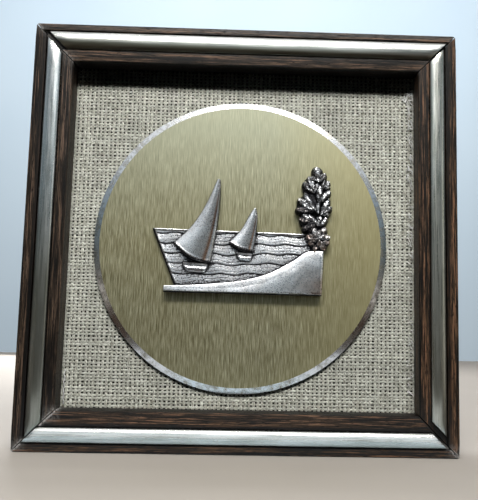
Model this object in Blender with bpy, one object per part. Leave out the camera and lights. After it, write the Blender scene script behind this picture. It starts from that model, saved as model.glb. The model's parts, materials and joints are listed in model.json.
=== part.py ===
"""A small framed relief: a cast seascape on a brushed gilt disc, set on burlap in a wooden frame.

Units are metres and +Z is up. The front faces -Y. The origin is on the flat back of the top
rail, at the middle of that face, where the frame meets the wall.
"""

from math import cos, exp, floor, pi, radians, sin, sqrt, tau

import bmesh
import bpy
from mathutils import Vector

# Frame
FRAME_WIDTH = 0.145
FRAME_HEIGHT = 0.143
FRAME_DEPTH = 0.017
RAIL_WIDTH = 0.0133
ARRIS_RADIUS = 0.0006
ARRIS_STEPS = 3
REBATE_WIDTH = 0.004
LIP_DEPTH = 0.0069
MITRE_GAP = 0.0003

# Metal strips let into the rails
TOP_STRIP_INSET = 0.0027
SIDE_STRIP_INSET = 0.0042
BOTTOM_STRIP_INSET = 0.0030
TOP_STRIP_WIDTH = 0.0062
SIDE_STRIP_WIDTH = 0.0051
BOTTOM_STRIP_WIDTH = 0.0050
STRIP_GROOVE = 0.0004
CHANNEL_DEPTH = 0.0013
STRIP_RISE = 0.0011
STRIP_FOOT = 0.0005
STRIP_STEPS = 8
# How far each strip's ends stop short of the mitre: left then right, with its outer edge upwards.
# The mitres have opened at the top left and the bottom right.
TOP_STRIP_GAPS = (0.0014, 0.0004)
RIGHT_STRIP_GAPS = (0.0004, 0.0019)
BOTTOM_STRIP_GAPS = (0.0009, 0.0002)
LEFT_STRIP_GAPS = (0.0002, 0.0004)

# Panel and board in the rebate
TOUCHING = 0.0003
PANEL_THICKNESS = 0.0009
BOARD_THICKNESS = 0.003
PANEL_SIDE_PLAY = 0.0005

# Disc, with its place measured from the middle of the frame
DISC_DIAMETER = 0.100
DISC_THICKNESS = 0.0012
DISC_BEVEL_WIDTH = 0.0020
DISC_EDGE_THICKNESS = 0.0005
DISC_RIGHT = -0.0006
DISC_UP = -0.0029
DISC_SEGMENTS = 128

# Relief: its drawing is in millimetres about the middle of the disc, for this drawn width
RELIEF_WIDTH = 0.0606
RELIEF_DRAWN_WIDTH = 60.6
SEA_HEIGHT = 1.7
WAVE_HEIGHT = 0.55
WAVE_PITCH = 3.45
WAVE_SWELL = 0.42
WAVE_LENGTH = 10.5
WAVE_FACE = 0.82
WAVE_FULLNESS = 0.7
RIPPLE_SHARE = 0.3
RIPPLE_LENGTH = 4.3
WAVE_COLUMNS = 36
WAVE_ROWS = 24
SAIL_ROWS = 12
SHORE_HEIGHT = 3.3
SHORE_ROLL = 1.0
SHORE_DISH = 1.1
SHORE_COLUMNS = 26
LOBE_SEGMENTS = 20
LOBE_RINGS = 5
BACK_SPARE = 1.0

# Hanger on the back of the board
HANGER_LENGTH = 0.042
HANGER_WIDTH = 0.009
HANGER_THICKNESS = 0.0008
HANGER_CRANK = 0.0012
HANGER_TAB = 0.0075
HANGER_TEETH = 9
HANGER_TOOTH_DEPTH = 0.0016
HANGER_BELOW_RAIL = 0.012
PIN_SHANK_DIAMETER = 0.0012
PIN_HEAD_DIAMETER = 0.0034
PIN_HEAD_THICKNESS = 0.0007
PIN_LENGTH_IN_BOARD = 0.0018
PIN_HEAD_SHOULDER = 0.85
PIN_HEAD_FLAT = 0.45
PIN_SEGMENTS = 20

# Places that follow from the sizes
BACK_LAND = RAIL_WIDTH - REBATE_WIDTH
FRAME_TOP = BACK_LAND / 2
FRAME_MIDDLE = FRAME_TOP - FRAME_HEIGHT / 2
FRONT = -FRAME_DEPTH
PANEL_FRONT = FRONT + LIP_DEPTH + TOUCHING
PANEL_BACK = PANEL_FRONT + PANEL_THICKNESS
BOARD_FRONT = PANEL_BACK + TOUCHING
BOARD_BACK = BOARD_FRONT + BOARD_THICKNESS
PANEL_WIDTH = FRAME_WIDTH - 2 * BACK_LAND - 2 * PANEL_SIDE_PLAY
PANEL_HEIGHT = FRAME_HEIGHT - 2 * BACK_LAND - 2 * PANEL_SIDE_PLAY
DISC_BACK = PANEL_FRONT - TOUCHING
DISC_FRONT = DISC_BACK - DISC_THICKNESS
RELIEF_BACK = DISC_FRONT - TOUCHING
HANGER_TOP = FRAME_TOP - RAIL_WIDTH - HANGER_BELOW_RAIL
PIN_OFFSET = HANGER_LENGTH / 2 - HANGER_TAB / 2
PIN_HEIGHT = HANGER_TOP - HANGER_WIDTH / 2
PIN_HOLE_DIAMETER = PIN_SHANK_DIAMETER + 2 * TOUCHING

RAIL_TURNS = {"top": 0, "right": 90, "bottom": 180, "left": 270}
STRIP_PLACES = {
    "top": (TOP_STRIP_INSET, TOP_STRIP_WIDTH, TOP_STRIP_GAPS),
    "right": (SIDE_STRIP_INSET, SIDE_STRIP_WIDTH, RIGHT_STRIP_GAPS),
    "bottom": (BOTTOM_STRIP_INSET, BOTTOM_STRIP_WIDTH, BOTTOM_STRIP_GAPS),
    "left": (SIDE_STRIP_INSET, SIDE_STRIP_WIDTH, LEFT_STRIP_GAPS),
}


def clear_scene():
    for obj in list(bpy.data.objects):
        bpy.data.objects.remove(obj, do_unlink=True)


def make_material(name, colour, metallic, roughness):
    material = bpy.data.materials.new(name)
    material.use_nodes = True
    shader = material.node_tree.nodes["Principled BSDF"]
    shader.inputs["Base Color"].default_value = (*colour, 1)
    shader.inputs["Metallic"].default_value = metallic
    shader.inputs["Roughness"].default_value = roughness
    return material


def make_object(name, points, faces, material=None, sharp_angle=None):
    """A mesh object with its faces turned outwards, smooth up to sharp_angle if one is given."""
    mesh = bpy.data.meshes.new(name)
    mesh.from_pydata([tuple(p) for p in points], [], faces)
    shell = bmesh.new()
    shell.from_mesh(mesh)
    bmesh.ops.recalc_face_normals(shell, faces=shell.faces)
    shell.to_mesh(mesh)
    shell.free()
    if material:
        mesh.materials.append(material)
    if sharp_angle is not None:
        mesh.shade_smooth()
        mesh.set_sharp_from_angle(angle=radians(sharp_angle))
    obj = bpy.data.objects.new(name, mesh)
    bpy.context.scene.collection.objects.link(obj)
    return obj


def box(name, low, high, material):
    corners = [(x, y, z) for x in (low[0], high[0]) for y in (low[1], high[1]) for z in (low[2], high[2])]
    faces = [(0, 1, 3, 2), (4, 6, 7, 5), (0, 4, 5, 1), (2, 3, 7, 6), (0, 2, 6, 4), (1, 5, 7, 3)]
    return make_object(name, corners, faces, material)


def turned(name, profile, segments, material=None, sharp_angle=30):
    """Turns (radius, y) points about the Y axis. The first and last points lie on the axis."""
    points = [(0, profile[0][1], 0)]
    for radius, y in profile[1:-1]:
        for step in range(segments):
            angle = tau * step / segments
            points.append((radius * cos(angle), y, radius * sin(angle)))
    points.append((0, profile[-1][1], 0))
    last = len(points) - 1
    rings = len(profile) - 2
    faces = []
    for step in range(segments):
        after = (step + 1) % segments
        faces.append((0, 1 + step, 1 + after))
        for ring in range(rings - 1):
            near = 1 + ring * segments
            far = near + segments
            faces.append((near + step, far + step, far + after, near + after))
        end = 1 + (rings - 1) * segments
        faces.append((end + after, end + step, last))
    return make_object(name, points, faces, material, sharp_angle)


def apply_boolean(obj, other, operation):
    """Joins other to obj, or cuts it out, and removes it."""
    modifier = obj.modifiers.new(operation.title(), "BOOLEAN")
    modifier.operation = operation
    modifier.solver = "EXACT"
    modifier.object = other
    bpy.context.view_layer.update()
    evaluated = obj.evaluated_get(bpy.context.evaluated_depsgraph_get())
    mesh = bpy.data.meshes.new_from_object(evaluated)
    obj.modifiers.clear()
    old = obj.data
    obj.data = mesh
    mesh.name = obj.name
    bpy.data.meshes.remove(old)
    bpy.data.objects.remove(other, do_unlink=True)


def arris(centre_inset, centre_depth, start, end):
    """A rounded arris as (inset, depth) points, from one angle to another in degrees."""
    angles = [radians(start + (end - start) * step / ARRIS_STEPS) for step in range(ARRIS_STEPS + 1)]
    return [(centre_inset + ARRIS_RADIUS * cos(a), centre_depth + ARRIS_RADIUS * sin(a)) for a in angles]


def rail_profile(inset, width):
    """(inset, y) points round a rail's section, with the channel for a strip of that width."""
    channel_floor = FRONT + CHANNEL_DEPTH
    outer = inset - STRIP_GROOVE
    inner = inset + width + STRIP_GROOVE
    rebate_front = FRONT + LIP_DEPTH
    return (
        [(0, 0)]
        + arris(ARRIS_RADIUS, FRONT + ARRIS_RADIUS, 180, 270)
        + [(outer, FRONT), (outer, channel_floor), (inner, channel_floor), (inner, FRONT)]
        + arris(RAIL_WIDTH - ARRIS_RADIUS, FRONT + ARRIS_RADIUS, 270, 360)
        + [(RAIL_WIDTH, rebate_front), (BACK_LAND, rebate_front), (BACK_LAND, 0)]
    )


def strip_profile(inset, width):
    """(inset, y) points round a strip's section: a flat foot and a half-round crown."""
    foot = FRONT + CHANNEL_DEPTH - TOUCHING
    spring = foot - STRIP_FOOT
    crown = FRONT - STRIP_RISE
    points = [(inset + width, foot), (inset, foot)]
    for step in range(STRIP_STEPS + 1):
        angle = pi - pi * step / STRIP_STEPS
        across = inset + width / 2 + width / 2 * cos(angle)
        points.append((across, spring + (crown - spring) * sin(angle)))
    return points


def mitred(name, side, profile, end_gaps, material, sharp_angle=None):
    """A length with that section and mitred ends, on that side of the frame.

    It is drawn along X with its outer edge at Z = 0, then turned about Y to its side. end_gaps
    say how far its left and its right end stop short of the mitre's plane.
    """
    upright = side in ("left", "right")
    length = FRAME_HEIGHT if upright else FRAME_WIDTH
    half_across = (FRAME_WIDTH if upright else FRAME_HEIGHT) / 2
    points = []
    for direction, gap in zip((-1, 1), end_gaps):
        for inset, depth in profile:
            reach = length / 2 - inset - gap * sqrt(2)
            points.append((direction * reach, depth, -inset))
    count = len(profile)
    faces = [tuple(range(count)), tuple(range(2 * count - 1, count - 1, -1))]
    for near in range(count):
        after = (near + 1) % count
        faces.append((near, near + count, after + count, after))
    obj = make_object(name, points, faces, material, sharp_angle)
    turn = radians(RAIL_TURNS[side])
    obj.rotation_euler = (0, turn, 0)
    obj.location = (half_across * sin(turn), 0, FRAME_MIDDLE + half_across * cos(turn))
    return obj


def make_frame(wood, metal):
    for side in RAIL_TURNS:
        inset, width, gaps = STRIP_PLACES[side]
        rail_gaps = (MITRE_GAP / 2, MITRE_GAP / 2)
        mitred("rail_" + side, side, rail_profile(inset, width), rail_gaps, wood)
        mitred("strip_" + side, side, strip_profile(inset, width), gaps, metal, sharp_angle=50)


def make_panel_and_board(burlap, board_wood):
    half_width = PANEL_WIDTH / 2
    low = FRAME_MIDDLE - PANEL_HEIGHT / 2
    high = FRAME_MIDDLE + PANEL_HEIGHT / 2
    box("burlap_panel", (-half_width, PANEL_FRONT, low), (half_width, PANEL_BACK, high), burlap)
    board = box("backing_board", (-half_width, BOARD_FRONT, low), (half_width, BOARD_BACK, high), board_wood)
    for place in (-PIN_OFFSET, PIN_OFFSET):
        apply_boolean(board, pin_hole(place, BOARD_BACK - PIN_LENGTH_IN_BOARD - TOUCHING), "DIFFERENCE")


def pin_hole(place, bottom):
    """A cutter for a pin's hole, from that depth out past the frame's back."""
    radius = PIN_HOLE_DIAMETER / 2
    top = FRAME_DEPTH
    cutter = turned("pin_hole", [(0, bottom), (radius, bottom), (radius, top), (0, top)], PIN_SEGMENTS)
    cutter.location = (place, 0, PIN_HEIGHT)
    cutter.hide_render = True
    cutter.display_type = "WIRE"
    return cutter


def make_disc(metal):
    radius = DISC_DIAMETER / 2
    profile = [
        (0, DISC_FRONT),
        (radius - DISC_BEVEL_WIDTH, DISC_FRONT),
        (radius, DISC_BACK - DISC_EDGE_THICKNESS),
        (radius, DISC_BACK),
        (0, DISC_BACK),
    ]
    disc = turned("disc", profile, DISC_SEGMENTS, metal, sharp_angle=8)
    disc.location = (DISC_RIGHT, 0, FRAME_MIDDLE + DISC_UP)


def hanger_stations():
    """(x, lift, tooth) along the hanger: its tabs, its cranks and the toothed stretch between."""
    half = HANGER_LENGTH / 2
    inner = half - HANGER_TAB
    raised = inner - HANGER_CRANK
    stations = [(-half, 0, 0), (-inner, 0, 0)]
    steps = 2 * HANGER_TEETH
    for step in range(steps + 1):
        stations.append((-raised + 2 * raised * step / steps, HANGER_CRANK, step % 2))
    return stations + [(inner, 0, 0), (half, 0, 0)]


def make_hanger(steel):
    """A plate whose tabs lie on the board, with its toothed middle cranked clear of it."""
    front = BOARD_BACK + TOUCHING
    points = []
    for x, lift, tooth in hanger_stations():
        low = HANGER_TOP - HANGER_WIDTH + HANGER_TOOTH_DEPTH * tooth
        for y in (front + lift, front + lift + HANGER_THICKNESS):
            points += [(x, y, low), (x, y, HANGER_TOP)]
    faces = [(0, 1, 3, 2)]
    last = len(points) - 4
    faces.append((last, last + 2, last + 3, last + 1))
    for near in range(0, last, 4):
        far = near + 4
        for a, b in ((0, 1), (1, 3), (3, 2), (2, 0)):
            faces.append((near + a, far + a, far + b, near + b))
    hanger = make_object("sawtooth_hanger", points, faces, steel)
    for place in (-PIN_OFFSET, PIN_OFFSET):
        apply_boolean(hanger, pin_hole(place, BOARD_FRONT), "DIFFERENCE")
    hanger.data.materials.clear()
    hanger.data.materials.append(steel)


def make_pins(steel):
    shank = PIN_SHANK_DIAMETER / 2
    head = PIN_HEAD_DIAMETER / 2
    tip = BOARD_BACK - PIN_LENGTH_IN_BOARD
    under_head = BOARD_BACK + TOUCHING + HANGER_THICKNESS + TOUCHING
    top = under_head + PIN_HEAD_THICKNESS
    profile = [
        (0, tip),
        (shank, tip + shank),
        (shank, under_head),
        (head, under_head),
        (head * PIN_HEAD_SHOULDER, top - PIN_HEAD_THICKNESS / 3),
        (head * PIN_HEAD_FLAT, top),
        (0, top),
    ]
    for side, place in (("left", -PIN_OFFSET), ("right", PIN_OFFSET)):
        pin = turned("hanger_pin_" + side, profile, PIN_SEGMENTS, steel)
        pin.location = (place, 0, PIN_HEIGHT)


def relief_point(x, z, height):
    """A point of the relief's drawing, in place: right and up from the disc's middle, and height."""
    unit = RELIEF_WIDTH / RELIEF_DRAWN_WIDTH
    middle = FRAME_MIDDLE + DISC_UP
    return Vector((DISC_RIGHT + x * unit, RELIEF_BACK - height * unit, middle + z * unit))


def raised_grid(name, rows):
    """A closed body under rows of (x, z, height) points, down to a flat below the relief's back."""
    across = len(rows[0])
    top = [point for row in rows for point in row]
    points = [relief_point(*point) for point in top]
    faces = []
    for r in range(len(rows) - 1):
        for c in range(across - 1):
            near = r * across + c
            faces.append((near, near + 1, near + across + 1, near + across))
    last = len(top) - across
    rim = list(range(across))
    rim += [r * across + across - 1 for r in range(1, len(rows) - 1)]
    rim += list(range(len(top) - 1, last - 1, -1))
    rim += [r * across for r in range(len(rows) - 2, 0, -1)]
    floor_of = {}
    for corner in rim:
        floor_of[corner] = len(points)
        points.append(relief_point(top[corner][0], top[corner][1], -BACK_SPARE))
    for near, after in zip(rim, rim[1:] + rim[:1]):
        faces.append((near, after, floor_of[after], floor_of[near]))
    faces.append(tuple(floor_of[corner] for corner in rim))
    return make_object(name, points, faces)


def curve_through(points, share):
    """A place on the smooth curve through (x, z) points, at a share of the way along them."""
    spans = len(points) - 1
    at = min(share * spans, spans - 1e-9)
    n = floor(at)
    t = at - n
    before = points[max(n - 1, 0)]
    after = points[min(n + 2, spans)]
    return tuple(
        0.5 * (2 * b + (c - a) * t + (2 * a - 5 * b + 4 * c - d) * t * t + (3 * b - a - 3 * c + d) * t ** 3)
        for a, b, c, d in zip(before, points[n], points[n + 1], after)
    )


def mix(a, b, share):
    return a + (b - a) * share


def arch(share, power):
    """Rises from 0 to 1 and back as share goes from 0 to 1, and stays 0 outside."""
    return max(0, sin(pi * min(max(share, 0), 1))) ** power


SEA_CORNERS = {
    "top left": (-30.1, 5.1),
    "top right": (24.5, 4.2),
    "foot left": (-21.9, -14.6),
    "foot right": (24.5, -14.6),
}


def wave_rise(x, z):
    """How far a wave stands up at a place: each one rises slowly and drops into a groove."""
    swell = WAVE_SWELL * (sin(tau * x / WAVE_LENGTH) + RIPPLE_SHARE * sin(tau * x / RIPPLE_LENGTH))
    along = ((z + swell) / WAVE_PITCH) % 1
    return arch(along / WAVE_FACE, WAVE_FULLNESS)


def make_sea():
    rows = []
    for r in range(WAVE_ROWS + 1):
        down = r / WAVE_ROWS
        left_x = mix(SEA_CORNERS["top left"][0], SEA_CORNERS["foot left"][0], down)
        right_x = mix(SEA_CORNERS["top right"][0], SEA_CORNERS["foot right"][0], down)
        row = []
        for c in range(WAVE_COLUMNS + 1):
            share = c / WAVE_COLUMNS
            x = mix(left_x, right_x, share)
            top_z = mix(SEA_CORNERS["top left"][1], SEA_CORNERS["top right"][1], share)
            z = mix(top_z, SEA_CORNERS["foot left"][1], down)
            row.append((x, z, SEA_HEIGHT + WAVE_HEIGHT * (wave_rise(x, z) - 1)))
        rows.append(row)
    return raised_grid("sea", rows)


BIG_SAIL = {
    "left": [(-8.5, 22.5), (-11.4, 15.2), (-14.7, 9.0), (-18.2, 4.3), (-22.7, 0.0)],
    "right": [(-7.5, 22.3), (-7.3, 17.0), (-7.7, 10.0), (-8.7, 1.5), (-10.2, -6.7)],
    "belly": 4.2,
    "edge": 2.5,
    "foot_sag": 1.5,
}
SMALL_SAIL = {
    "left": [(4.3, 12.8), (2.7, 10.3), (0.5, 6.0), (-1.8, 3.0), (-4.2, 0.6)],
    "right": [(5.0, 12.7), (5.5, 9.6), (5.4, 6.4), (5.0, 2.2), (4.2, -2.8)],
    "belly": 3.6,
    "edge": 2.4,
    "foot_sag": 0.8,
}
SAIL_COLUMNS = (0, 0.1, 0.25, 0.42, 0.6, 0.75, 0.84, 0.92, 1)
SAIL_BELLY_END = 0.85
SAIL_FULLNESS = 0.75
SAIL_PEAK_BELLY = 0.35
SAIL_PEAK_EDGE = 0.8
SAIL_FOOT_DRIFT = 0.35
SAIL_BEAD_PLACE = 0.93
SAIL_BEAD_WIDTH = 0.05
SAIL_BEAD_HEIGHT = 0.55


def sail_height(sail, across, down):
    """The sail swells between its edges, with a raised bead just inside its right edge."""
    belly = (sail["belly"] - sail["edge"]) * mix(SAIL_PEAK_BELLY, 1, down)
    swell = arch(across / SAIL_BELLY_END, SAIL_FULLNESS)
    bead = SAIL_BEAD_HEIGHT * exp(-(((across - SAIL_BEAD_PLACE) / SAIL_BEAD_WIDTH) ** 2))
    return mix(SAIL_PEAK_EDGE, 1, down) * sail["edge"] + belly * swell + bead


def make_sail(name, sail):
    rows = []
    for r in range(SAIL_ROWS + 1):
        down = r / SAIL_ROWS
        left = curve_through(sail["left"], down)
        right = curve_through(sail["right"], down)
        row = []
        for across in SAIL_COLUMNS:
            sag = sail["foot_sag"] * sin(pi * across) * down ** 2
            x = mix(left[0], right[0], across) - SAIL_FOOT_DRIFT * sag
            z = mix(left[1], right[1], across) - sag
            row.append((x, z, sail_height(sail, across, down)))
        rows.append(row)
    return raised_grid(name, rows)


BIG_HULL = {"left": -19.3, "right": -10.8, "top": -6.3, "bottom": -9.4, "height": 3.0}
SMALL_HULL = {"left": -1.2, "right": 4.1, "top": -2.6, "bottom": -5.4, "height": 2.8}
HULL_ROWS = ((0, -0.5), (0.2, 0), (0.45, -0.3), (0.75, 0), (1, -0.7))
HULL_COLUMNS = 8
HULL_SHEER = 0.06
HULL_PINCH = 0.14
HULL_END_RISE = 0.25
HULL_END_FALL = 0.6


def make_hull(name, hull):
    """A boat that narrows to its keel, with a rail above a shallow groove."""
    length = hull["right"] - hull["left"]
    depth = hull["top"] - hull["bottom"]
    rows = []
    for down, rise in HULL_ROWS:
        pinch = HULL_PINCH * length * down ** 2
        row = []
        for c in range(HULL_COLUMNS + 1):
            share = c / HULL_COLUMNS
            end = (2 * share - 1) ** 4
            x = mix(hull["left"] + pinch, hull["right"] - pinch, share)
            z = hull["top"] - HULL_SHEER * length * share - depth * down * (1 - HULL_END_RISE * end)
            row.append((x, z, hull["height"] + rise - HULL_END_FALL * end))
        rows.append(row)
    return raised_grid(name, rows)


SHORE_LINE = [
    (-25.5, -14.3),
    (-16.0, -13.9),
    (-7.6, -13.2),
    (0.9, -12.1),
    (9.3, -9.7),
    (17.7, -5.2),
    (22.4, -2.0),
    (28.1, -1.6),
]
SHORE_FOOT_LEFT = (-25.4, -16.5)
SHORE_FOOT_RIGHT = (27.5, -16.8)
SHORE_ROWS = (0, 0.06, 0.14, 0.24, 0.4, 0.58, 0.76, 0.9, 1)
SHORE_RIM = 1.3
SHORE_ROLL_DROP = 0.8
SHORE_FULL_DEPTH = 8
SHORE_DISH_FULLNESS = 1.2
SHORE_FOOT_DROP = 0.5
SHORE_FOOT_ROLL = 0.6


def shore_height(below_line, depth, from_right):
    """A rolled edge along the shore line, then a dish that rises again to the foot and the right."""
    roll = min(below_line / SHORE_ROLL, 1)
    rolled = SHORE_HEIGHT - SHORE_ROLL_DROP * (1 - sqrt(1 - (1 - roll) ** 2))
    dish_depth = SHORE_DISH * min(depth / SHORE_FULL_DEPTH, 1)
    dish = dish_depth * arch((below_line - SHORE_ROLL) / (depth - SHORE_ROLL), SHORE_DISH_FULLNESS)
    fade = min(from_right / SHORE_RIM, 1) ** 2
    foot = SHORE_FOOT_DROP * max(0, 1 - (depth - below_line) / SHORE_FOOT_ROLL)
    return rolled - dish * fade - foot


def make_shore():
    columns = []
    for c in range(SHORE_COLUMNS + 1):
        share = c / SHORE_COLUMNS
        x, z = curve_through(SHORE_LINE, share)
        along = (x - SHORE_LINE[0][0]) / (SHORE_LINE[-1][0] - SHORE_LINE[0][0])
        foot_x = mix(SHORE_FOOT_LEFT[0], SHORE_FOOT_RIGHT[0], along)
        foot_z = mix(SHORE_FOOT_LEFT[1], SHORE_FOOT_RIGHT[1], along)
        depth = z - foot_z
        column = []
        for down in SHORE_ROWS:
            height = shore_height(down * depth, depth, SHORE_LINE[-1][0] - x)
            column.append((mix(x, foot_x, down), z - down * depth, height))
        columns.append(column)
    return raised_grid("shore", columns)


# Clumps of leaves: right, up, half width, half height and how far each stands up
LEAF_CLUMPS = (
    (25.6, 16.0, 4.0, 10.0, 2.9),
    (26.0, 24.4, 2.9, 3.3, 3.9),
    (22.9, 21.3, 2.5, 2.9, 3.5),
    (28.5, 21.0, 2.2, 2.6, 3.4),
    (26.4, 18.2, 3.1, 3.4, 4.6),
    (21.1, 15.2, 3.4, 3.7, 4.1),
    (28.0, 15.0, 2.5, 3.6, 3.8),
    (22.3, 10.2, 3.0, 3.5, 4.2),
    (27.8, 10.2, 2.1, 3.2, 3.4),
    (26.4, 6.2, 2.4, 2.8, 4.4),
    (24.4, 3.6, 2.7, 3.4, 4.0),
    (28.0, 4.0, 2.6, 3.6, 4.2),
    (26.3, 0.8, 3.2, 2.9, 4.3),
)
CLUMP_LEAVES = 5
CLUMP_LEAF_DEPTH = 0.13
CLUMP_UNEVENNESS = 0.05
CLUMP_TURN = 1.7
CLUMP_DENT = 0.35
CLUMP_EDGE_RISE = 0.45


def make_clump(number, clump):
    """A dome of leaves: its rim and its rise swell out once for each leaf."""
    right, up, half_width, half_height, rise = clump
    turn = CLUMP_TURN * number

    def leaf(angle):
        swell = abs(cos(CLUMP_LEAVES * (angle + turn) / 2))
        return 1 - CLUMP_LEAF_DEPTH * (1 - swell) + CLUMP_UNEVENNESS * sin(3 * angle + 2 * turn)

    points = [relief_point(right, up, rise)]
    for ring in range(1, LOBE_RINGS + 1):
        lean = pi / 2 * ring / LOBE_RINGS
        for step in range(LOBE_SEGMENTS):
            angle = tau * step / LOBE_SEGMENTS
            swell = leaf(angle)
            x = right + half_width * swell * sin(lean) * cos(angle)
            z = up + half_height * swell * sin(lean) * sin(angle)
            dent = CLUMP_DENT * sin(2 * lean) * (1 - swell) / CLUMP_LEAF_DEPTH
            points.append(relief_point(x, z, rise * mix(CLUMP_EDGE_RISE, 1, cos(lean)) - dent))
    rim = len(points) - LOBE_SEGMENTS
    for step in range(LOBE_SEGMENTS):
        foot = points[rim + step].copy()
        foot.y = relief_point(0, 0, -BACK_SPARE).y
        points.append(foot)
    faces = [(0, 1 + step, 1 + (step + 1) % LOBE_SEGMENTS) for step in range(LOBE_SEGMENTS)]
    for ring in range(LOBE_RINGS):
        near = 1 + ring * LOBE_SEGMENTS
        for step in range(LOBE_SEGMENTS):
            after = (step + 1) % LOBE_SEGMENTS
            far = near + LOBE_SEGMENTS
            faces.append((near + step, far + step, far + after, near + after))
    faces.append(tuple(range(len(points) - LOBE_SEGMENTS, len(points))))
    return make_object("clump", points, faces)


def make_relief(pewter):
    """The casting is the union of its raised forms, cut flat at its back."""
    relief = make_sea()
    forms = [
        make_shore(),
        make_hull("big_hull", BIG_HULL),
        make_hull("small_hull", SMALL_HULL),
        make_sail("big_sail", BIG_SAIL),
        make_sail("small_sail", SMALL_SAIL),
    ]
    forms += [make_clump(number, clump) for number, clump in enumerate(LEAF_CLUMPS)]
    for form in forms:
        apply_boolean(relief, form, "UNION")
    reach = RELIEF_WIDTH
    middle = relief_point(0, 0, 0)
    low = (middle.x - reach, middle.y, middle.z - reach)
    high = (middle.x + reach, middle.y + reach, middle.z + reach)
    apply_boolean(relief, box("behind", low, high, None), "DIFFERENCE")
    relief.name = "relief"
    relief.data.name = "relief"
    relief.data.materials.append(pewter)
    relief.data.shade_smooth()
    relief.data.set_sharp_from_angle(angle=radians(35))


clear_scene()
dark_wood = make_material("dark_wood", (0.045, 0.028, 0.018), 0.0, 0.45)
champagne_metal = make_material("champagne_metal", (0.62, 0.58, 0.46), 1.0, 0.28)
beige_burlap = make_material("beige_burlap", (0.52, 0.46, 0.33), 0.0, 0.95)
hardboard = make_material("hardboard", (0.20, 0.12, 0.07), 0.0, 0.8)
gold_aluminium = make_material("gold_aluminium", (0.50, 0.44, 0.26), 1.0, 0.35)
antique_silver = make_material("antique_silver", (0.55, 0.54, 0.53), 1.0, 0.32)
plain_steel = make_material("plain_steel", (0.55, 0.53, 0.48), 1.0, 0.4)
make_frame(dark_wood, champagne_metal)
make_panel_and_board(beige_burlap, hardboard)
make_disc(gold_aluminium)
make_relief(antique_silver)
make_hanger(plain_steel)
make_pins(plain_steel)
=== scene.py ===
"""The framed sailing relief: dark wood, rounded metal strips, burlap, a gilt disc and its casting."""

import json
from math import atan2, cos, exp, floor, hypot, pi, radians, sin, sqrt, tau
from random import Random

import bmesh
import bpy
import numpy as np
from mathutils import Matrix, Vector, noise

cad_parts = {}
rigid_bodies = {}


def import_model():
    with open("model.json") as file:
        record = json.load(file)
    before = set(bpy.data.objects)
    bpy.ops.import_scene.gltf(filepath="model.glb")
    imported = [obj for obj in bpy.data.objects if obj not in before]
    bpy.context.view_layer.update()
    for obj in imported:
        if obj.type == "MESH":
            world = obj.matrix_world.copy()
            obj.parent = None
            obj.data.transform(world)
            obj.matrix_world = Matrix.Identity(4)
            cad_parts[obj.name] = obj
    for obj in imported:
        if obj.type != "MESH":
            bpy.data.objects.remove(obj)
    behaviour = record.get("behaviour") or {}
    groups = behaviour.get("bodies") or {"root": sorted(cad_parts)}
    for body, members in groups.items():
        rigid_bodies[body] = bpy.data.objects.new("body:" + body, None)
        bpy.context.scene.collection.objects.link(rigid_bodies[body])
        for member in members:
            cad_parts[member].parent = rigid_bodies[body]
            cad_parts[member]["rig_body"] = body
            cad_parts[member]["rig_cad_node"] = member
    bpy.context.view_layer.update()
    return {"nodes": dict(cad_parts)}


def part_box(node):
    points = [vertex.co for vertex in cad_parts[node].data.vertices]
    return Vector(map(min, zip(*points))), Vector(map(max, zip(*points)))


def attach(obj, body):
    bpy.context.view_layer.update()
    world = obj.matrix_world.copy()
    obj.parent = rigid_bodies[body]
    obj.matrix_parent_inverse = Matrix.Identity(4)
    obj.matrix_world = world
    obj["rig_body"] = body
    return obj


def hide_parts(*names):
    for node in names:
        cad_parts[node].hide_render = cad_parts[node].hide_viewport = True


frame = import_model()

MM = 0.001


# Working on one piece at a time

def take(piece):
    """Makes a piece the only one selected, and the active one."""
    bpy.ops.object.select_all(action="DESELECT")
    piece.select_set(True)
    bpy.context.view_layer.objects.active = piece


def open_mesh(piece):
    take(piece)
    bpy.ops.object.mode_set(mode="EDIT")
    bpy.ops.mesh.select_all(action="SELECT")


def close_mesh():
    bpy.ops.object.mode_set(mode="OBJECT")


def settle(piece):
    """Puts a piece's place and turn into its mesh."""
    take(piece)
    bpy.ops.object.transform_apply(location=True, rotation=True, scale=True)


def cut_across(at, direction):
    """Cuts the open mesh along a plane and keeps both sides."""
    bpy.ops.mesh.select_all(action="SELECT")
    bpy.ops.mesh.bisect(plane_co=at, plane_no=direction)


def whole_copy(node, name):
    """A copy of one of the solids, with its triangles merged back into whole faces."""
    piece = frame["nodes"][node].copy()
    piece.data = piece.data.copy()
    piece.name = name
    piece.data.name = name
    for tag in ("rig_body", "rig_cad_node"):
        del piece[tag]
    piece.parent = None
    bpy.context.scene.collection.objects.link(piece)
    open_mesh(piece)
    bpy.ops.mesh.remove_doubles(threshold=0.001 * MM)
    bpy.ops.mesh.customdata_custom_splitnormals_clear()
    bpy.ops.mesh.dissolve_limited(angle_limit=radians(1))
    close_mesh()
    return piece


def smooth(piece, angle):
    take(piece)
    bpy.ops.object.shade_smooth_by_angle(angle=radians(angle))


def dress(piece, node, slot, *finishes):
    """Gives a piece its finishes and its place on the object."""
    piece.data.materials.clear()
    for finish in finishes:
        piece.data.materials.append(finish)
    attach(piece, "root")
    if node:
        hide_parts(node)


def set_numbers(piece, name, values):
    """Keeps one number for each point of a piece, for its finish to read."""
    numbers = piece.data.attributes.new(name, "FLOAT", "POINT")
    numbers.data.foreach_set("value", np.asarray(values, dtype=np.float32))


def points_of(piece):
    points = np.zeros(3 * len(piece.data.vertices))
    piece.data.vertices.foreach_get("co", points)
    return points.reshape(-1, 3)


def move_points(piece, points):
    piece.data.vertices.foreach_set("co", np.asarray(points).ravel())
    piece.data.update()


def mix(a, b, share):
    return a + (b - a) * share


def clamp(value, low=0.0, high=1.0):
    return min(max(value, low), high)


# Building a finish

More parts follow.
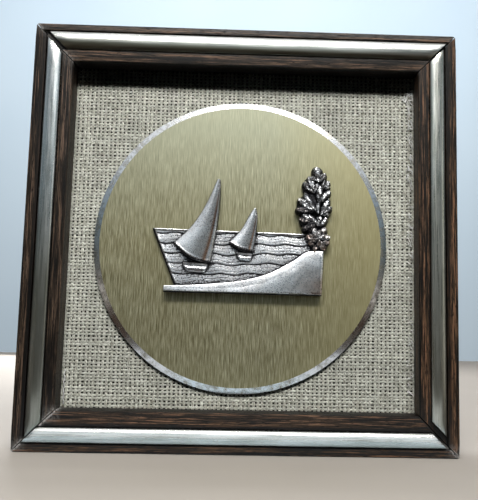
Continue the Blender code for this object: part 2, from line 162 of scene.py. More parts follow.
class Finish:
    """A material and its shader, with short ways to add and join its parts."""

    def __init__(self, name, **plain):
        self.material = bpy.data.materials.new(name)
        self.material.use_nodes = True
        self.tree = self.material.node_tree
        self.shader = self.tree.nodes["Principled BSDF"]
        for socket, value in plain.items():
            self.shader.inputs[socket.replace("_", " ")].default_value = value
        self.place = self.tree.nodes.new("ShaderNodeTexCoord").outputs["Object"]

    def add(self, kind, inputs, **settings):
        part = self.tree.nodes.new(kind)
        for setting, value in settings.items():
            setattr(part, setting, value)
        for socket, value in inputs.items():
            self.join(value, part.inputs[socket])
        return part

    def join(self, value, socket):
        if isinstance(value, bpy.types.NodeSocket):
            self.tree.links.new(value, socket)
        else:
            socket.default_value = value

    def scaled(self, x, y, z, turn=(0, 0, 0)):
        """Object coordinates turned, then multiplied by so much along each axis."""
        turned = self.add("ShaderNodeMapping", {"Vector": self.place, "Rotation": turn})
        return self.add("ShaderNodeMapping", {"Vector": turned.outputs[0], "Scale": (x, y, z)}).outputs[0]

    def cloud(self, vector, scale=1.0, detail=3.0, rough=0.55, bend=0.0):
        inputs = {"Vector": vector, "Scale": scale, "Detail": detail, "Roughness": rough, "Distortion": bend}
        return self.add("ShaderNodeTexNoise", inputs).outputs[0]

    def spread(self, value, low, high, to_low=0.0, to_high=1.0):
        inputs = {0: value, 1: low, 2: high, 3: to_low, 4: to_high}
        return self.add("ShaderNodeMapRange", inputs, clamp=True).outputs[0]

    def sum(self, kind, a, b):
        return self.add("ShaderNodeMath", {0: a, 1: b}, operation=kind, use_clamp=False).outputs[0]

    def ramp(self, value, *stops):
        """A run of colours: each stop is (place, colour)."""
        part = self.add("ShaderNodeValToRGB", {0: value})
        run = part.color_ramp.elements
        while len(run) < len(stops):
            run.new(0.5)
        for stop, (place, colour) in zip(run, stops):
            stop.position = place
            stop.color = (*colour, 1)
        return part.outputs[0]

    def blend(self, share, a, b, kind="MIX"):
        part = self.add("ShaderNodeMix", {0: share, 6: a, 7: b}, data_type="RGBA", blend_type=kind)
        return part.outputs[2]

    def number(self, name):
        return self.add("ShaderNodeAttribute", {}, attribute_name=name).outputs["Fac"]

    def bump(self, height, distance, strength=1.0, after=None):
        inputs = {"Height": height, "Distance": distance, "Strength": strength}
        if after is not None:
            inputs["Normal"] = after
        return self.add("ShaderNodeBump", inputs).outputs[0]

    def put(self, **sockets):
        for socket, value in sockets.items():
            self.join(value, self.shader.inputs[socket.replace("_", " ")])
        return self.material


def dark_wood(name, along, streaks, grey, wander):
    """Dark open-grained wood. Its grain runs along an axis, with more or fewer red-brown streaks."""
    wood = Finish(name, Specular_IOR_Level=0.22)

    def grain(lengthwise, crosswise):
        return (lengthwise, crosswise, crosswise) if along == "X" else (crosswise, crosswise, lengthwise)

    broad = wood.cloud(wood.scaled(*grain(16, 900)), detail=3, bend=wander)
    fine = wood.cloud(wood.scaled(*grain(70, 2600)), detail=4, rough=0.7, bend=0.4 * wander)
    pores = wood.cloud(wood.scaled(*grain(420, 3600)), detail=2)
    lines = wood.sum("ADD", wood.sum("MULTIPLY", broad, 0.36), wood.sum("MULTIPLY", fine, 0.64))
    colour = wood.ramp(
        lines,
        (0.40, (0.003, 0.0022, 0.0018)),
        (0.48, (0.010, 0.007, 0.005)),
        (0.53, mix_colour((0.070, 0.042, 0.024), (0.040, 0.030, 0.022), grey)),
        (0.60, mix_colour((0.30, 0.155, 0.088), (0.15, 0.105, 0.078), 1 - streaks)),
    )
    open_pore = wood.spread(pores, 0.56, 0.66)
    colour = wood.blend(wood.sum("MULTIPLY", open_pore, 0.85), colour, (0.004, 0.003, 0.003, 1))
    glue = wood.spread(wood.cloud(wood.scaled(1, 1, 1), 1400, detail=3), 0.34, 0.54)
    # Painted shade: near black where the rails are shut in, on their inner walls, down the opened mitre and in the
    # grooves beside the strips
    painted_shade = wood.sum("MULTIPLY", wood.number("painted_shade"), 0.95)
    colour = wood.blend(painted_shade, colour, (0.003, 0.0024, 0.002, 1))
    worn = wood.sum("MULTIPLY", wood.number("worn"), glue)
    colour = wood.blend(worn, colour, (0.58, 0.56, 0.54, 1))
    rough = wood.spread(fine, 0.3, 0.7, 0.34, 0.52)
    rough = wood.sum("MAXIMUM", rough, wood.sum("MULTIPLY", open_pore, 0.8))
    ridges = wood.sum("SUBTRACT", wood.sum("MULTIPLY", fine, 0.6), open_pore)
    return wood.put(Base_Color=colour, Roughness=rough, Normal=wood.bump(ridges, 0.09 * MM, 0.7))


def mix_colour(a, b, share):
    return tuple(mix(x, y, share) for x, y in zip(a, b))


def strip_metal(name, along, warmth):
    """Worn champagne-silver metal, drawn out along the strip, with small scuffs and tarnish."""
    metal = Finish(name, Metallic=1.0)

    def drawn(lengthwise, crosswise):
        return (lengthwise, crosswise, crosswise) if along == "X" else (crosswise, crosswise, lengthwise)

    lines = metal.cloud(metal.scaled(*drawn(60, 2600)), detail=3)
    scuffs = metal.cloud(metal.scaled(*drawn(700, 1500)), detail=4, rough=0.7)
    clouds = metal.cloud(metal.scaled(*drawn(55, 300)), detail=3)
    bright = mix_colour((0.80, 0.82, 0.84), (0.80, 0.76, 0.64), warmth)
    dull = mix_colour((0.50, 0.52, 0.52), (0.46, 0.44, 0.34), warmth)
    colour = metal.ramp(metal.sum("ADD", metal.sum("MULTIPLY", lines, 0.5), metal.sum("MULTIPLY", clouds, 0.5)),
                        (0.36, dull), (0.58, bright))
    tarnish = metal.spread(scuffs, 0.58, 0.74)
    colour = metal.blend(metal.sum("MULTIPLY", tarnish, 0.40), colour, (0.19, 0.17, 0.12, 1))
    # Painted shade for the darker reflections: dark where the strip's number says, and a little rougher there
    painted_dimming = metal.number("painted_dimming")
    colour = metal.blend(painted_dimming, colour, (0.15, 0.145, 0.105, 1))
    rough = metal.sum("ADD", metal.spread(lines, 0.3, 0.7, 0.21, 0.31), metal.sum("MULTIPLY", tarnish, 0.12))
    rough = metal.sum("ADD", rough, metal.sum("MULTIPLY", painted_dimming, 0.10))
    dents = metal.cloud(metal.scaled(*drawn(110, 300)), detail=1)
    small = metal.cloud(metal.scaled(*drawn(420, 700)), detail=2)
    worked = metal.bump(small, 0.025 * MM, 0.4, metal.bump(dents, 0.10 * MM, 0.5))
    return metal.put(Base_Color=colour, Roughness=rough, Normal=metal.bump(scuffs, 0.02 * MM, 0.35, worked))


def jute(name, along):
    """Loosely spun beige yarn: fibres twisted at a slant to the yarn, with paler and darker stretches."""
    yarn = Finish(name, Roughness=0.92, Specular_IOR_Level=0.12, Sheen_Weight=0.25, Sheen_Roughness=0.6)
    slant = (0, radians(26), 0)
    if along == "X":
        twist = yarn.scaled(500, 500, 3800, slant)
    else:
        twist = yarn.scaled(3800, 500, 500, slant)
    fibres = yarn.cloud(twist, detail=3, rough=0.6)
    stains = yarn.cloud(yarn.scaled(1, 1, 1), 60, detail=4)
    flecks = yarn.cloud(yarn.scaled(1, 1, 1), 900, detail=2)
    colour = yarn.ramp(fibres, (0.28, (0.19, 0.187, 0.145)), (0.46, (0.51, 0.515, 0.44)), (0.62, (0.85, 0.865, 0.79)))
    tone = yarn.sum("ADD", yarn.number("tone"), yarn.spread(stains, 0.3, 0.7, -0.10, 0.10))
    tone = yarn.sum("ADD", tone, yarn.spread(flecks, 0.35, 0.7, 0.06, -0.12))
    shade = yarn.add("ShaderNodeHueSaturation", {"Color": colour, "Value": tone}).outputs[0]
    return yarn.put(Base_Color=shade, Normal=yarn.bump(fibres, 0.10 * MM, 0.8))


def brushed_gold():
    """Gold-anodised metal brushed up and down."""
    gold = Finish("brushed_gold", Metallic=1.0)
    strokes = gold.cloud(gold.scaled(7000, 7000, 190), detail=3, rough=0.6)
    wide = gold.cloud(gold.scaled(1500, 1500, 60), detail=2)
    scratches = gold.cloud(gold.scaled(9000, 9000, 500), detail=2)
    patches = gold.cloud(gold.scaled(1, 1, 1), 26, detail=3)
    lines = gold.sum("ADD", gold.sum("MULTIPLY", strokes, 0.85), gold.sum("MULTIPLY", wide, 0.15))
    colour = gold.ramp(lines, (0.38, (0.145, 0.13, 0.066)), (0.50, (0.30, 0.278, 0.165)), (0.62, (0.52, 0.50, 0.35)))
    colour = gold.blend(gold.spread(patches, 0.35, 0.7, 0.0, 0.30), colour, (0.28, 0.25, 0.135, 1))
    spot = gold.add("ShaderNodeSeparateXYZ", {0: gold.place}).outputs
    # Painted reflection: paler and greyer towards the top, for the whiter light it shows there; painted light: a
    # brighter, deeper gold towards the right
    painted_top_sheen = gold.spread(spot["Z"], DISC_MIDDLE.z, DISC_MIDDLE.z + 0.8 * DISC_RADIUS, 0.0, 0.65)
    colour = gold.blend(painted_top_sheen, colour, (0.30, 0.315, 0.245, 1))
    painted_right_light = gold.spread(spot["X"], DISC_MIDDLE.x + 0.2 * DISC_RADIUS, DISC_MIDDLE.x + 0.9 * DISC_RADIUS, 0.0, 0.6)
    colour = gold.blend(painted_right_light, colour, (0.43, 0.385, 0.20, 1))
    rough = gold.spread(strokes, 0.3, 0.7, 0.46, 0.58)
    marks = gold.sum("ADD", strokes, gold.sum("MULTIPLY", scratches, 0.5))
    return gold.put(Base_Color=colour, Roughness=rough, Normal=gold.bump(marks, 0.03 * MM, 0.5))


def cut_rim():
    """The disc's bevel, cut bright through the gold colour."""
    rim = Finish("cut_rim", Metallic=1.0)
    marks = rim.cloud(rim.scaled(1, 1, 1), 1500, detail=3)
    spots = rim.cloud(rim.scaled(1, 1, 1), 420, detail=4, rough=0.65)
    colour = rim.ramp(spots, (0.42, (0.74, 0.75, 0.76)), (0.66, (0.40, 0.38, 0.33)))
    rough = rim.spread(spots, 0.35, 0.7, 0.13, 0.34)
    return rim.put(Base_Color=colour, Roughness=rough, Normal=rim.bump(marks, 0.01 * MM, 0.4))


def antique_silver():
    """Cast silver, dark in its hollows and speckled, polished on what stands up."""
    silver = Finish("cast_antique_silver")
    # Dark patina from the hollows, added to the darkness each form was given: patina, and on some forms painted shade
    hollow = silver.sum("ADD", silver.number("hollow"), silver.number("patina_and_shade"))
    grit = silver.cloud(silver.scaled(1, 1, 1), 3000, detail=3, rough=0.7)
    speckle = silver.cloud(silver.scaled(1, 1, 1), 2300, detail=3, rough=0.65)
    cloudy = silver.cloud(silver.scaled(1, 1, 1), 210, detail=4)
    specks = silver.sum("MULTIPLY", silver.spread(speckle, 0.38, 0.66, -0.36, 0.56), silver.number("specked"))
    dark = silver.sum("ADD", hollow, specks)
    dark = silver.sum("ADD", dark, silver.spread(cloudy, 0.35, 0.70, -0.08, 0.12))
    patina = silver.spread(dark, 0.02, 0.50)
    base = silver.ramp(cloudy, (0.35, (0.60, 0.59, 0.59)), (0.60, (0.77, 0.78, 0.80)))
    base = silver.blend(silver.number("browned"), base, (0.36, 0.20, 0.115, 1))
    colour = silver.blend(patina, base, (0.022, 0.021, 0.024, 1))
    rough = silver.sum("ADD", silver.spread(speckle, 0.35, 0.7, 0.24, 0.36), silver.sum("MULTIPLY", patina, 0.20))
    bright = silver.spread(patina, 0.0, 1.0, 1.0, 0.72)
    facets = silver.cloud(silver.scaled(1, 1, 1), 780, detail=2)
    pits = silver.bump(speckle, 0.05 * MM, 0.45, silver.bump(facets, 0.55 * MM, silver.number("rugged")))
    return silver.put(Base_Color=colour, Metallic=bright, Roughness=rough, Normal=silver.bump(grit, 0.02 * MM, 0.5, pits))


def brown_board():
    """Bare pressed board: smooth brown with short darker fibres."""
    board = Finish("brown_board", Specular_IOR_Level=0.3)
    fibres = board.cloud(board.scaled(700, 700, 1500, (0, 0.5, 0)), detail=4, rough=0.7)
    patches = board.cloud(board.scaled(1, 1, 1), 40, detail=3)
    value = board.sum("ADD", board.sum("MULTIPLY", fibres, 0.7), board.sum("MULTIPLY", patches, 0.3))
    colour = board.ramp(value, (0.34, (0.055, 0.031, 0.017)), (0.52, (0.145, 0.085, 0.048)), (0.68, (0.23, 0.145, 0.085)))
    rough = board.spread(fibres, 0.3, 0.7, 0.62, 0.85)
    return board.put(Base_Color=colour, Roughness=rough, Normal=board.bump(fibres, 0.05 * MM, 0.6))


def zinc(name, tint):
    """Zinc-plated steel with cloudy plating and fine rolling marks."""
    steel = Finish(name, Metallic=1.0)
    plating = steel.cloud(steel.scaled(1, 1, 1), 520, detail=4)
    rolled = steel.cloud(steel.scaled(120, 2600, 2600), detail=3)
    dim = tuple(0.55 * part for part in tint)
    colour = steel.ramp(plating, (0.36, dim), (0.62, tint))
    rough = steel.spread(plating, 0.35, 0.65, 0.26, 0.46)
    return steel.put(Base_Color=colour, Roughness=rough, Normal=steel.bump(rolled, 0.012 * MM, 0.5))


# The frame: four mitred mouldings

TOP_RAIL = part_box("rail_top")
BOTTOM_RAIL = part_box("rail_bottom")
LEFT = TOP_RAIL[0].x
RIGHT = TOP_RAIL[1].x
TOP = TOP_RAIL[1].z
BOTTOM = BOTTOM_RAIL[0].z
FRONT = TOP_RAIL[0].y
RAIL_WIDTH = TOP_RAIL[1].z - TOP_RAIL[0].z
CORNER_RADIUS = 1.2 * MM
SLICES = 28
STRIP_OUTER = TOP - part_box("strip_top")[1].z
STRIP_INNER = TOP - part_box("strip_top")[0].z
# Width of the painted shade in the grooves beside the metal strips, also used as a falloff for the glue and the opened
# mitre
GROOVE_SHADE_WIDTH = 0.7 * MM
# How much pale glue and bare wood shows along each mitre
WORN_MITRES = {"top left": 0.35, "top right": 0.05, "bottom left": 1.0, "bottom right": 0.8}
WORN_WIDTH = 0.75 * MM
# The mitre that has opened: painted shade, near black, stands for its open gap from the window to the strips, with pale
# glue only at its outer end
PARTED_MITRE = "bottom right"


def corner_distances(point):
    """How far a point lies from the frame's outer edges at its nearest corner, and that corner."""
    side = "left" if point[0] < (LEFT + RIGHT) / 2 else "right"
    level = "bottom" if point[2] < (TOP + BOTTOM) / 2 else "top"
    along = point[0] - LEFT if side == "left" else RIGHT - point[0]
    up = point[2] - BOTTOM if level == "bottom" else TOP - point[2]
    return along, up, level + " " + side


def round_corner(point):
    """Draws a point in to the rounded outer corner."""
    along, up, corner = corner_distances(point)
    if along >= CORNER_RADIUS or up >= CORNER_RADIUS:
        return point
    reach = hypot(CORNER_RADIUS - along, CORNER_RADIUS - up)
    if reach <= CORNER_RADIUS:
        return point
    share = 1 - CORNER_RADIUS / reach
    right = 1 if corner.endswith("left") else -1
    upward = 1 if corner.startswith("bottom") else -1
    point = point.copy()
    point[0] += right * (CORNER_RADIUS - along) * share
    point[2] += upward * (CORNER_RADIUS - up) * share
    return point


def start_offset(side, inset):
    """Where a line so far in from a side's outer edge lies across its rail."""
    return {"top": TOP - inset, "bottom": BOTTOM + inset, "left": LEFT + inset, "right": RIGHT - inset}[side]


def dress_rail(side, finish):
    rail = whole_copy("rail_" + side, side + "_moulding")
    across = side in ("top", "bottom")
    start, end = (LEFT, RIGHT) if across else (BOTTOM, TOP)
    stations = [start + (end - start) * n / SLICES for n in range(1, SLICES)]
    for inwards in (0.12, 0.28, 0.48, 0.8):
        stations += [start + inwards * MM, end - inwards * MM]
    open_mesh(rail)
    for station in stations:
        if across:
            cut_across((station, 0, 0), (1, 0, 0))
        else:
            cut_across((0, 0, station), (0, 0, 1))
    for corner_x, corner_z, rise in ((LEFT, TOP, -1), (RIGHT, TOP, 1), (RIGHT, BOTTOM, -1), (LEFT, BOTTOM, 1)):
        for inwards in (0.35 * MM, WORN_WIDTH):
            offset = inwards * sqrt(2)
            inner_x = offset if corner_x == LEFT else -offset
            if not across:
                inner_x = -inner_x
            cut_across((corner_x + inner_x, 0, corner_z), (rise, 0, -1))
    for inset in (STRIP_OUTER - GROOVE_SHADE_WIDTH, STRIP_OUTER, STRIP_INNER, STRIP_INNER + GROOVE_SHADE_WIDTH):
        offset = start_offset(side, inset)
        if across:
            cut_across((0, 0, offset), (0, 0, 1))
        else:
            cut_across((offset, 0, 0), (1, 0, 0))
    close_mesh()
    points = points_of(rail)
    worn, painted_shade = [], []
    for n, point in enumerate(points):
        along, up, corner = corner_distances(point)
        from_mitre = abs(along - up) / sqrt(2)
        front = clamp((FRONT + 3 * MM - point[1]) / MM)
        inset = min(along, up)
        glued = STRIP_OUTER if corner == PARTED_MITRE else RAIL_WIDTH
        pale = front * clamp(1 - (from_mitre - 0.15 * MM) / WORN_WIDTH) * clamp(1 + (glued - inset) / GROOVE_SHADE_WIDTH)
        worn.append(WORN_MITRES[corner] * pale)
        # Painted shade, near black: down the opened mitre, on the inner walls deepening towards the back, and in the
        # grooves beside the strips
        parted = 0.95 * front * clamp(1.2 - from_mitre / WORN_WIDTH) * clamp((inset - glued) / GROOVE_SHADE_WIDTH)
        inner = clamp((inset - RAIL_WIDTH) / (0.3 * MM) + 1)
        walled = inner * clamp(0.9 + (point[1] - FRONT) / (6 * MM)) * clamp((PANEL_FRONT + MM - point[1]) / MM)
        from_strip = max(STRIP_OUTER - inset, inset - STRIP_INNER)
        painted_shade.append(max(walled, parted, 0.9 * front * clamp(1 - from_strip / GROOVE_SHADE_WIDTH)))
        near_front = clamp((FRONT + 2 * MM - point[1]) / (2 * MM))
        rub = 0.5 + 0.5 * noise.noise(Vector(point) * 130)
        if inset < 1.5 * MM or inset > RAIL_WIDTH - 1.5 * MM:
            point[1] += 0.12 * MM * rub * near_front
        points[n] = round_corner(point)
    move_points(rail, points)
    set_numbers(rail, "worn", worn)
    set_numbers(rail, "painted_shade", painted_shade)
    smooth(rail, 28)
    dress(rail, "rail_" + side, "dark_wood", finish)


def dress_frame():
    grey_top = dark_wood("dark_wood_top", "X", 0.40, 0.55, 0.3)
    # The right rail has the most red-brown streaks and no grey, which makes it the brightest: partly its own grain,
    # partly painted light for light falling on it from the right
    red_and_lit_right = dark_wood("dark_wood_right", "Z", 1.0, 0.0, 0.2)
    waving_bottom = dark_wood("dark_wood_bottom", "X", 0.75, 0.1, 1.6)
    grey_left = dark_wood("dark_wood_left", "Z", 0.20, 0.6, 0.3)
    for side, finish in (("top", grey_top), ("right", red_and_lit_right), ("bottom", waving_bottom), ("left", grey_left)):
        dress_rail(side, finish)


# The metal strips: half-round, mitred and a little dented

STRIP_TURNS = {"top": 0, "right": 90, "bottom": 180, "left": 270}
STRIP_CUTS = 70
ROUND_POINTS = 48
DENT_DEPTH = 0.09 * MM


def dress_strip(side, finish):
    """A half-round drawn out along the rail, cut to its mitres, turned to its side and dented."""
    low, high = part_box("strip_" + side)
    upright = side in ("left", "right")
    length = high.z - low.z if upright else high.x - low.x
    width = high.x - low.x if upright else high.z - low.z
    crown = low.y
    foot = high.y
    spring = foot - 0.5 * MM
    bpy.ops.object.select_all(action="DESELECT")
    bpy.ops.mesh.primitive_circle_add(
        vertices=ROUND_POINTS, radius=width / 2, fill_type="NGON",
        location=(-length / 2, spring, -width / 2), rotation=(0, pi / 2, 0))
    strip = bpy.context.object
    strip.name = side + "_metal_strip"
    settle(strip)
    open_mesh(strip)
    bpy.ops.mesh.bisect(plane_co=(0, spring, 0), plane_no=(0, 1, 0), use_fill=False, clear_outer=True)
    bpy.ops.mesh.select_all(action="SELECT")
    bpy.ops.transform.resize(value=(1, (spring - crown) / (width / 2), 1), center_override=(0, spring, 0))
    close_mesh()
    points = points_of(strip)
    edge = np.abs(points[:, 1] - spring) < 0.001 * MM
    corners = [v.index for v in strip.data.vertices if edge[v.index]]
    outer = max(corners, key=lambda n: points[n, 2])
    inner = min(corners, key=lambda n: points[n, 2])
    open_mesh(strip)
    bpy.ops.mesh.select_all(action="DESELECT")
    close_mesh()
    for edge in strip.data.edges:
        edge.select = set(edge.vertices) == {outer, inner}
    bpy.ops.object.mode_set(mode="EDIT")
    bpy.ops.mesh.select_mode(type="EDGE")
    bpy.ops.mesh.extrude_region_move(TRANSFORM_OT_translate={"value": (0, foot - spring, 0)})
    bpy.ops.mesh.select_mode(type="FACE")
    bpy.ops.mesh.select_all(action="SELECT")
    bpy.ops.mesh.extrude_region_move(TRANSFORM_OT_translate={"value": (length, 0, 0)})
    bpy.ops.mesh.select_all(action="SELECT")
    bpy.ops.mesh.remove_doubles(threshold=0.001 * MM)
    for end in (-1, 1):
        bpy.ops.mesh.select_all(action="SELECT")
        bpy.ops.mesh.bisect(
            plane_co=(end * length / 2, 0, 0), plane_no=(end, 0, -1), use_fill=True, clear_inner=False, clear_outer=False)
        bpy.ops.mesh.select_all(action="SELECT")
        bpy.ops.mesh.bisect(
            plane_co=(end * (length / 2 - 0.0001 * MM), 0, 0), plane_no=(end, 0, -1), use_fill=True, clear_outer=True)
    for cut in range(1, STRIP_CUTS):
        cut_across((length * (cut / STRIP_CUTS - 0.5), 0, 0), (1, 0, 0))
    bpy.ops.mesh.select_all(action="SELECT")
    bpy.ops.mesh.normals_make_consistent(inside=False)
    close_mesh()
    dent_strip(strip, side, length, width, spring, crown)
    turn = radians(STRIP_TURNS[side])
    middle = (low + high) / 2
    place = {
        "top": (middle.x, 0, high.z),
        "right": (high.x, 0, middle.z),
        "bottom": (middle.x, 0, low.z),
        "left": (low.x, 0, middle.z),
    }[side]
    strip.data.transform(Matrix.Translation(place) @ Matrix.Rotation(turn, 4, "Y"))
    set_numbers(strip, "painted_dimming", [strip_painted_dimming(side, point) for point in points_of(strip)])
    smooth(strip, 40)
    dress(strip, "strip_" + side, "champagne_metal", finish)


def strip_painted_dimming(side, point):
    """Painted shade on a strip for the darker reflections it shows: on the level ones along the lower half, on the
    upright ones towards their feet.
    """
    if side in ("top", "bottom"):
        upper_edge = TOP - STRIP_OUTER if side == "top" else BOTTOM + STRIP_INNER
        down = (upper_edge - point[2]) / (STRIP_INNER - STRIP_OUTER)
        along = (point[0] - LEFT) / (RIGHT - LEFT)
        if side == "top":
            return max(0.95 * clamp(2.2 * down - mix(0.40, 1.05, along)), 0.28 * clamp((along - 0.8) / 0.1))
        return mix(0.30, 0.55, along) * clamp(2.6 * down - 1.4)
    if side == "left":
        return 0.78 * clamp((TOP - 58 * MM - point[2]) / (30 * MM))
    if side == "right":
        return 0.22 + 0.30 * clamp((TOP - 50 * MM - point[2]) / (40 * MM))
    return 0.0


def dent_strip(strip, side, length, width, spring, crown):
    """Presses shallow dents into the crown and rubs its ends round."""
    seed = 17 * list(STRIP_TURNS).index(side)
    points = points_of(strip)
    for point in points:
        rise = clamp((spring - point[1]) / (spring - crown))
        wide = noise.noise(Vector((point[0] * 95 + seed, point[2] * 160, seed)))
        small = noise.noise(Vector((point[0] * 260 + seed, point[2] * 420, seed + 5)))
        press = 0.5 + 0.5 * wide + 0.35 * (0.5 + 0.5 * small)
        from_end = (length / 2 - abs(point[0])) + point[2]
        rubbed = clamp(1 - from_end / (0.7 * MM)) ** 2
        point[1] += rise * (DENT_DEPTH * press + 0.25 * MM * rubbed)
        if side == "left" and point[0] > 0:
            inner = clamp((-point[2] / width - 0.45) / 0.55)
            curl = clamp(1 - (from_end + point[2]) / (3.2 * MM))
            point[0] -= 1.0 * MM * inner ** 2 * curl
            point[1] += 0.2 * MM * rise * curl ** 2
    move_points(strip, points)


def dress_strips():
    cool_across = strip_metal("strip_metal_across", "X", 0.35)
    cool_upright = strip_metal("strip_metal_upright", "Z", 0.25)
    warm_upright = strip_metal("strip_metal_right", "Z", 0.60)
    dress_strip("top", cool_across)
    dress_strip("bottom", cool_across)
    dress_strip("left", cool_upright)
    dress_strip("right", warm_upright)


# The burlap: yarns over and under each other on the panel

WARPS = 86
WEFTS = 105
YARN_SHARE = 0.64
CRIMP = 0.17 * MM
YARN_ARCH = 0.15 * MM
YARN_WANDER = 0.085
SHADE_SHEET_THICKNESS = 0.2 * MM


def yarn_middle(number, at, seed, pitch):
    """Where a yarn's middle runs across its own line, as it wanders and crowds its neighbour."""
    wander = noise.noise(Vector((number * 0.63 + seed, at * 70, seed)))
    crowd = noise.noise(Vector((number * 5.1, at * 9, seed + 3)))
    return pitch * (2.2 * YARN_WANDER * wander + 1.6 * YARN_WANDER * crowd)


def weave_yarns(count, crossings, low, high, start, end, upright, seed):
    """Points, faces and tones of all the yarns that run one way."""
    pitch = (high - low) / count
    step = (end - start) / crossings
    random = Random(seed)
    points, faces, tones = [], [], []
    middle_y = (PANEL_FRONT + PANEL_BACK) / 2 - 0.02 * MM
    for number in range(count):
        tone = random.gauss(1.0, 0.06)
        thick = random.gauss(1.0, 0.06)
        base = len(points)
        stations = 2 * crossings + 1
        for station in range(stations):
            at = start + step * station / 2
            crossing = (station - 1) // 2
            if station % 2:
                lift = 1 if (number + crossing + upright) % 2 else -1
            else:
                lift = 0
            slub = noise.noise(Vector((number * 3.7 + seed, at * 120, seed + 8)))
            half = pitch * YARN_SHARE / 2 * thick * (1 + 0.18 * slub)
            if station % 2 == 0:
                half *= 0.94
            centre = low + pitch * (number + 0.5) + yarn_middle(number, at, seed, pitch)
            centre = clamp(centre, low + half, high - half)
            depth = middle_y - CRIMP * lift
            for place, arch in ((-1, 0), (0, 1), (1, 0)):
                across = centre + place * half
                y = depth - YARN_ARCH * (arch - 0.4)
                points.append((across, y, at) if upright else (at, y, across))
                tones.append(tone + 0.05 * slub)
        for station in range(stations - 1):
            near = base + 3 * station
            for side in (0, 1):
                face = (near + side, near + side + 1, near + side + 4, near + side + 3)
                faces.append(face if upright else face[::-1])
    return points, faces, tones


def make_yarns(name, parts):
    """One open mesh from several runs of yarns, each with its own finish."""
    points, faces, tones, finish_of = [], [], [], []
    for number, (run_points, run_faces, run_tones) in enumerate(parts):
        base = len(points)
        points += run_points
        tones += run_tones
        faces += [tuple(base + corner for corner in face) for face in run_faces]
        finish_of += [number] * len(run_faces)
    mesh = bpy.data.meshes.new(name)
    mesh.from_pydata(points, [], faces)
    mesh.polygons.foreach_set("material_index", finish_of)
    mesh.shade_smooth()
    piece = bpy.data.objects.new(name, mesh)
    bpy.context.scene.collection.objects.link(piece)
    set_numbers(piece, "tone", tones)
    return piece


PANEL_LOW, PANEL_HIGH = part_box("burlap_panel")
PANEL_FRONT = PANEL_LOW.y
PANEL_BACK = PANEL_HIGH.y


def dress_burlap():
    warps = weave_yarns(WARPS, WEFTS, PANEL_LOW.x, PANEL_HIGH.x, PANEL_LOW.z, PANEL_HIGH.z, True, 3)
    wefts = weave_yarns(WEFTS, WARPS, PANEL_LOW.z, PANEL_HIGH.z, PANEL_LOW.x, PANEL_HIGH.x, False, 11)
    cloth = make_yarns("woven_burlap", (warps, wefts))
    indices = np.zeros(len(cloth.data.polygons), dtype=np.int32)
    cloth.data.polygons.foreach_get("material_index", indices)
    dress(cloth, "burlap_panel", "beige_burlap", jute("jute_warp", "Z"), jute("jute_weft", "X"))
    cloth.data.polygons.foreach_set("material_index", indices)


def dress_shade_sheet():
    """A near-black sheet behind the burlap, so that its holes show dark: painted shade for what is seen through them.
    """
    bpy.ops.object.select_all(action="DESELECT")
    middle = (PANEL_LOW + PANEL_HIGH) / 2
    bpy.ops.mesh.primitive_plane_add(size=1, location=(middle.x, PANEL_BACK, middle.z), rotation=(pi / 2, 0, 0))
    shade_sheet = bpy.context.object
    shade_sheet.name = "painted_shade_sheet"
    shade_sheet.scale = (PANEL_HIGH.x - PANEL_LOW.x, PANEL_HIGH.z - PANEL_LOW.z, 1)
    settle(shade_sheet)
    open_mesh(shade_sheet)
    bpy.ops.mesh.extrude_region_move(TRANSFORM_OT_translate={"value": (0, -SHADE_SHEET_THICKNESS, 0)})
    bpy.ops.mesh.inset(thickness=0.5 * MM)
    bpy.ops.mesh.select_all(action="SELECT")
    bpy.ops.mesh.normals_make_consistent(inside=False)
    close_mesh()
    sheet_finish = Finish("painted_shade_sheet", Roughness=0.95, Specular_IOR_Level=0.1)
    fleck = sheet_finish.cloud(sheet_finish.scaled(1, 1, 1), 900, detail=3)
    shade = sheet_finish.ramp(fleck, (0.35, (0.012, 0.011, 0.009)), (0.65, (0.030, 0.027, 0.021)))
    dress(shade_sheet, None, "hardboard", sheet_finish.put(Base_Color=shade, Normal=sheet_finish.bump(fleck, 0.03 * MM, 0.5)))


# Loose fibres and lint on the burlap

WINDOW_LEFT = LEFT + RAIL_WIDTH
WINDOW_RIGHT = RIGHT - RAIL_WIDTH
WINDOW_BOTTOM = BOTTOM + RAIL_WIDTH
WINDOW_TOP = TOP - RAIL_WIDTH
FIBRE_SIDES = 3


def fibre(path, radius):
    """Points and faces of a thin thread along a path, closed at its ends."""
    points, faces = [], []
    for n, centre in enumerate(path):
        ahead = path[min(n + 1, len(path) - 1)] - path[max(n - 1, 0)]
        side = ahead.cross(Vector((0, 1, 0)))
        side = side.normalized() if side.length > 1e-9 else Vector((1, 0, 0))
        lift = side.cross(ahead).normalized()
        for corner in range(FIBRE_SIDES):
            angle = tau * corner / FIBRE_SIDES
            points.append(centre + radius * (cos(angle) * side + sin(angle) * lift))
    for n in range(len(path) - 1):
        for corner in range(FIBRE_SIDES):
            after = (corner + 1) % FIBRE_SIDES
            near = n * FIBRE_SIDES
            faces.append((near + corner, near + after, near + FIBRE_SIDES + after, near + FIBRE_SIDES + corner))
    last = (len(path) - 1) * FIBRE_SIDES
    faces.append(tuple(range(FIBRE_SIDES))[::-1])
    faces.append(tuple(last + corner for corner in range(FIBRE_SIDES)))
    return [tuple(point) for point in points], faces, [1.0] * len(points)


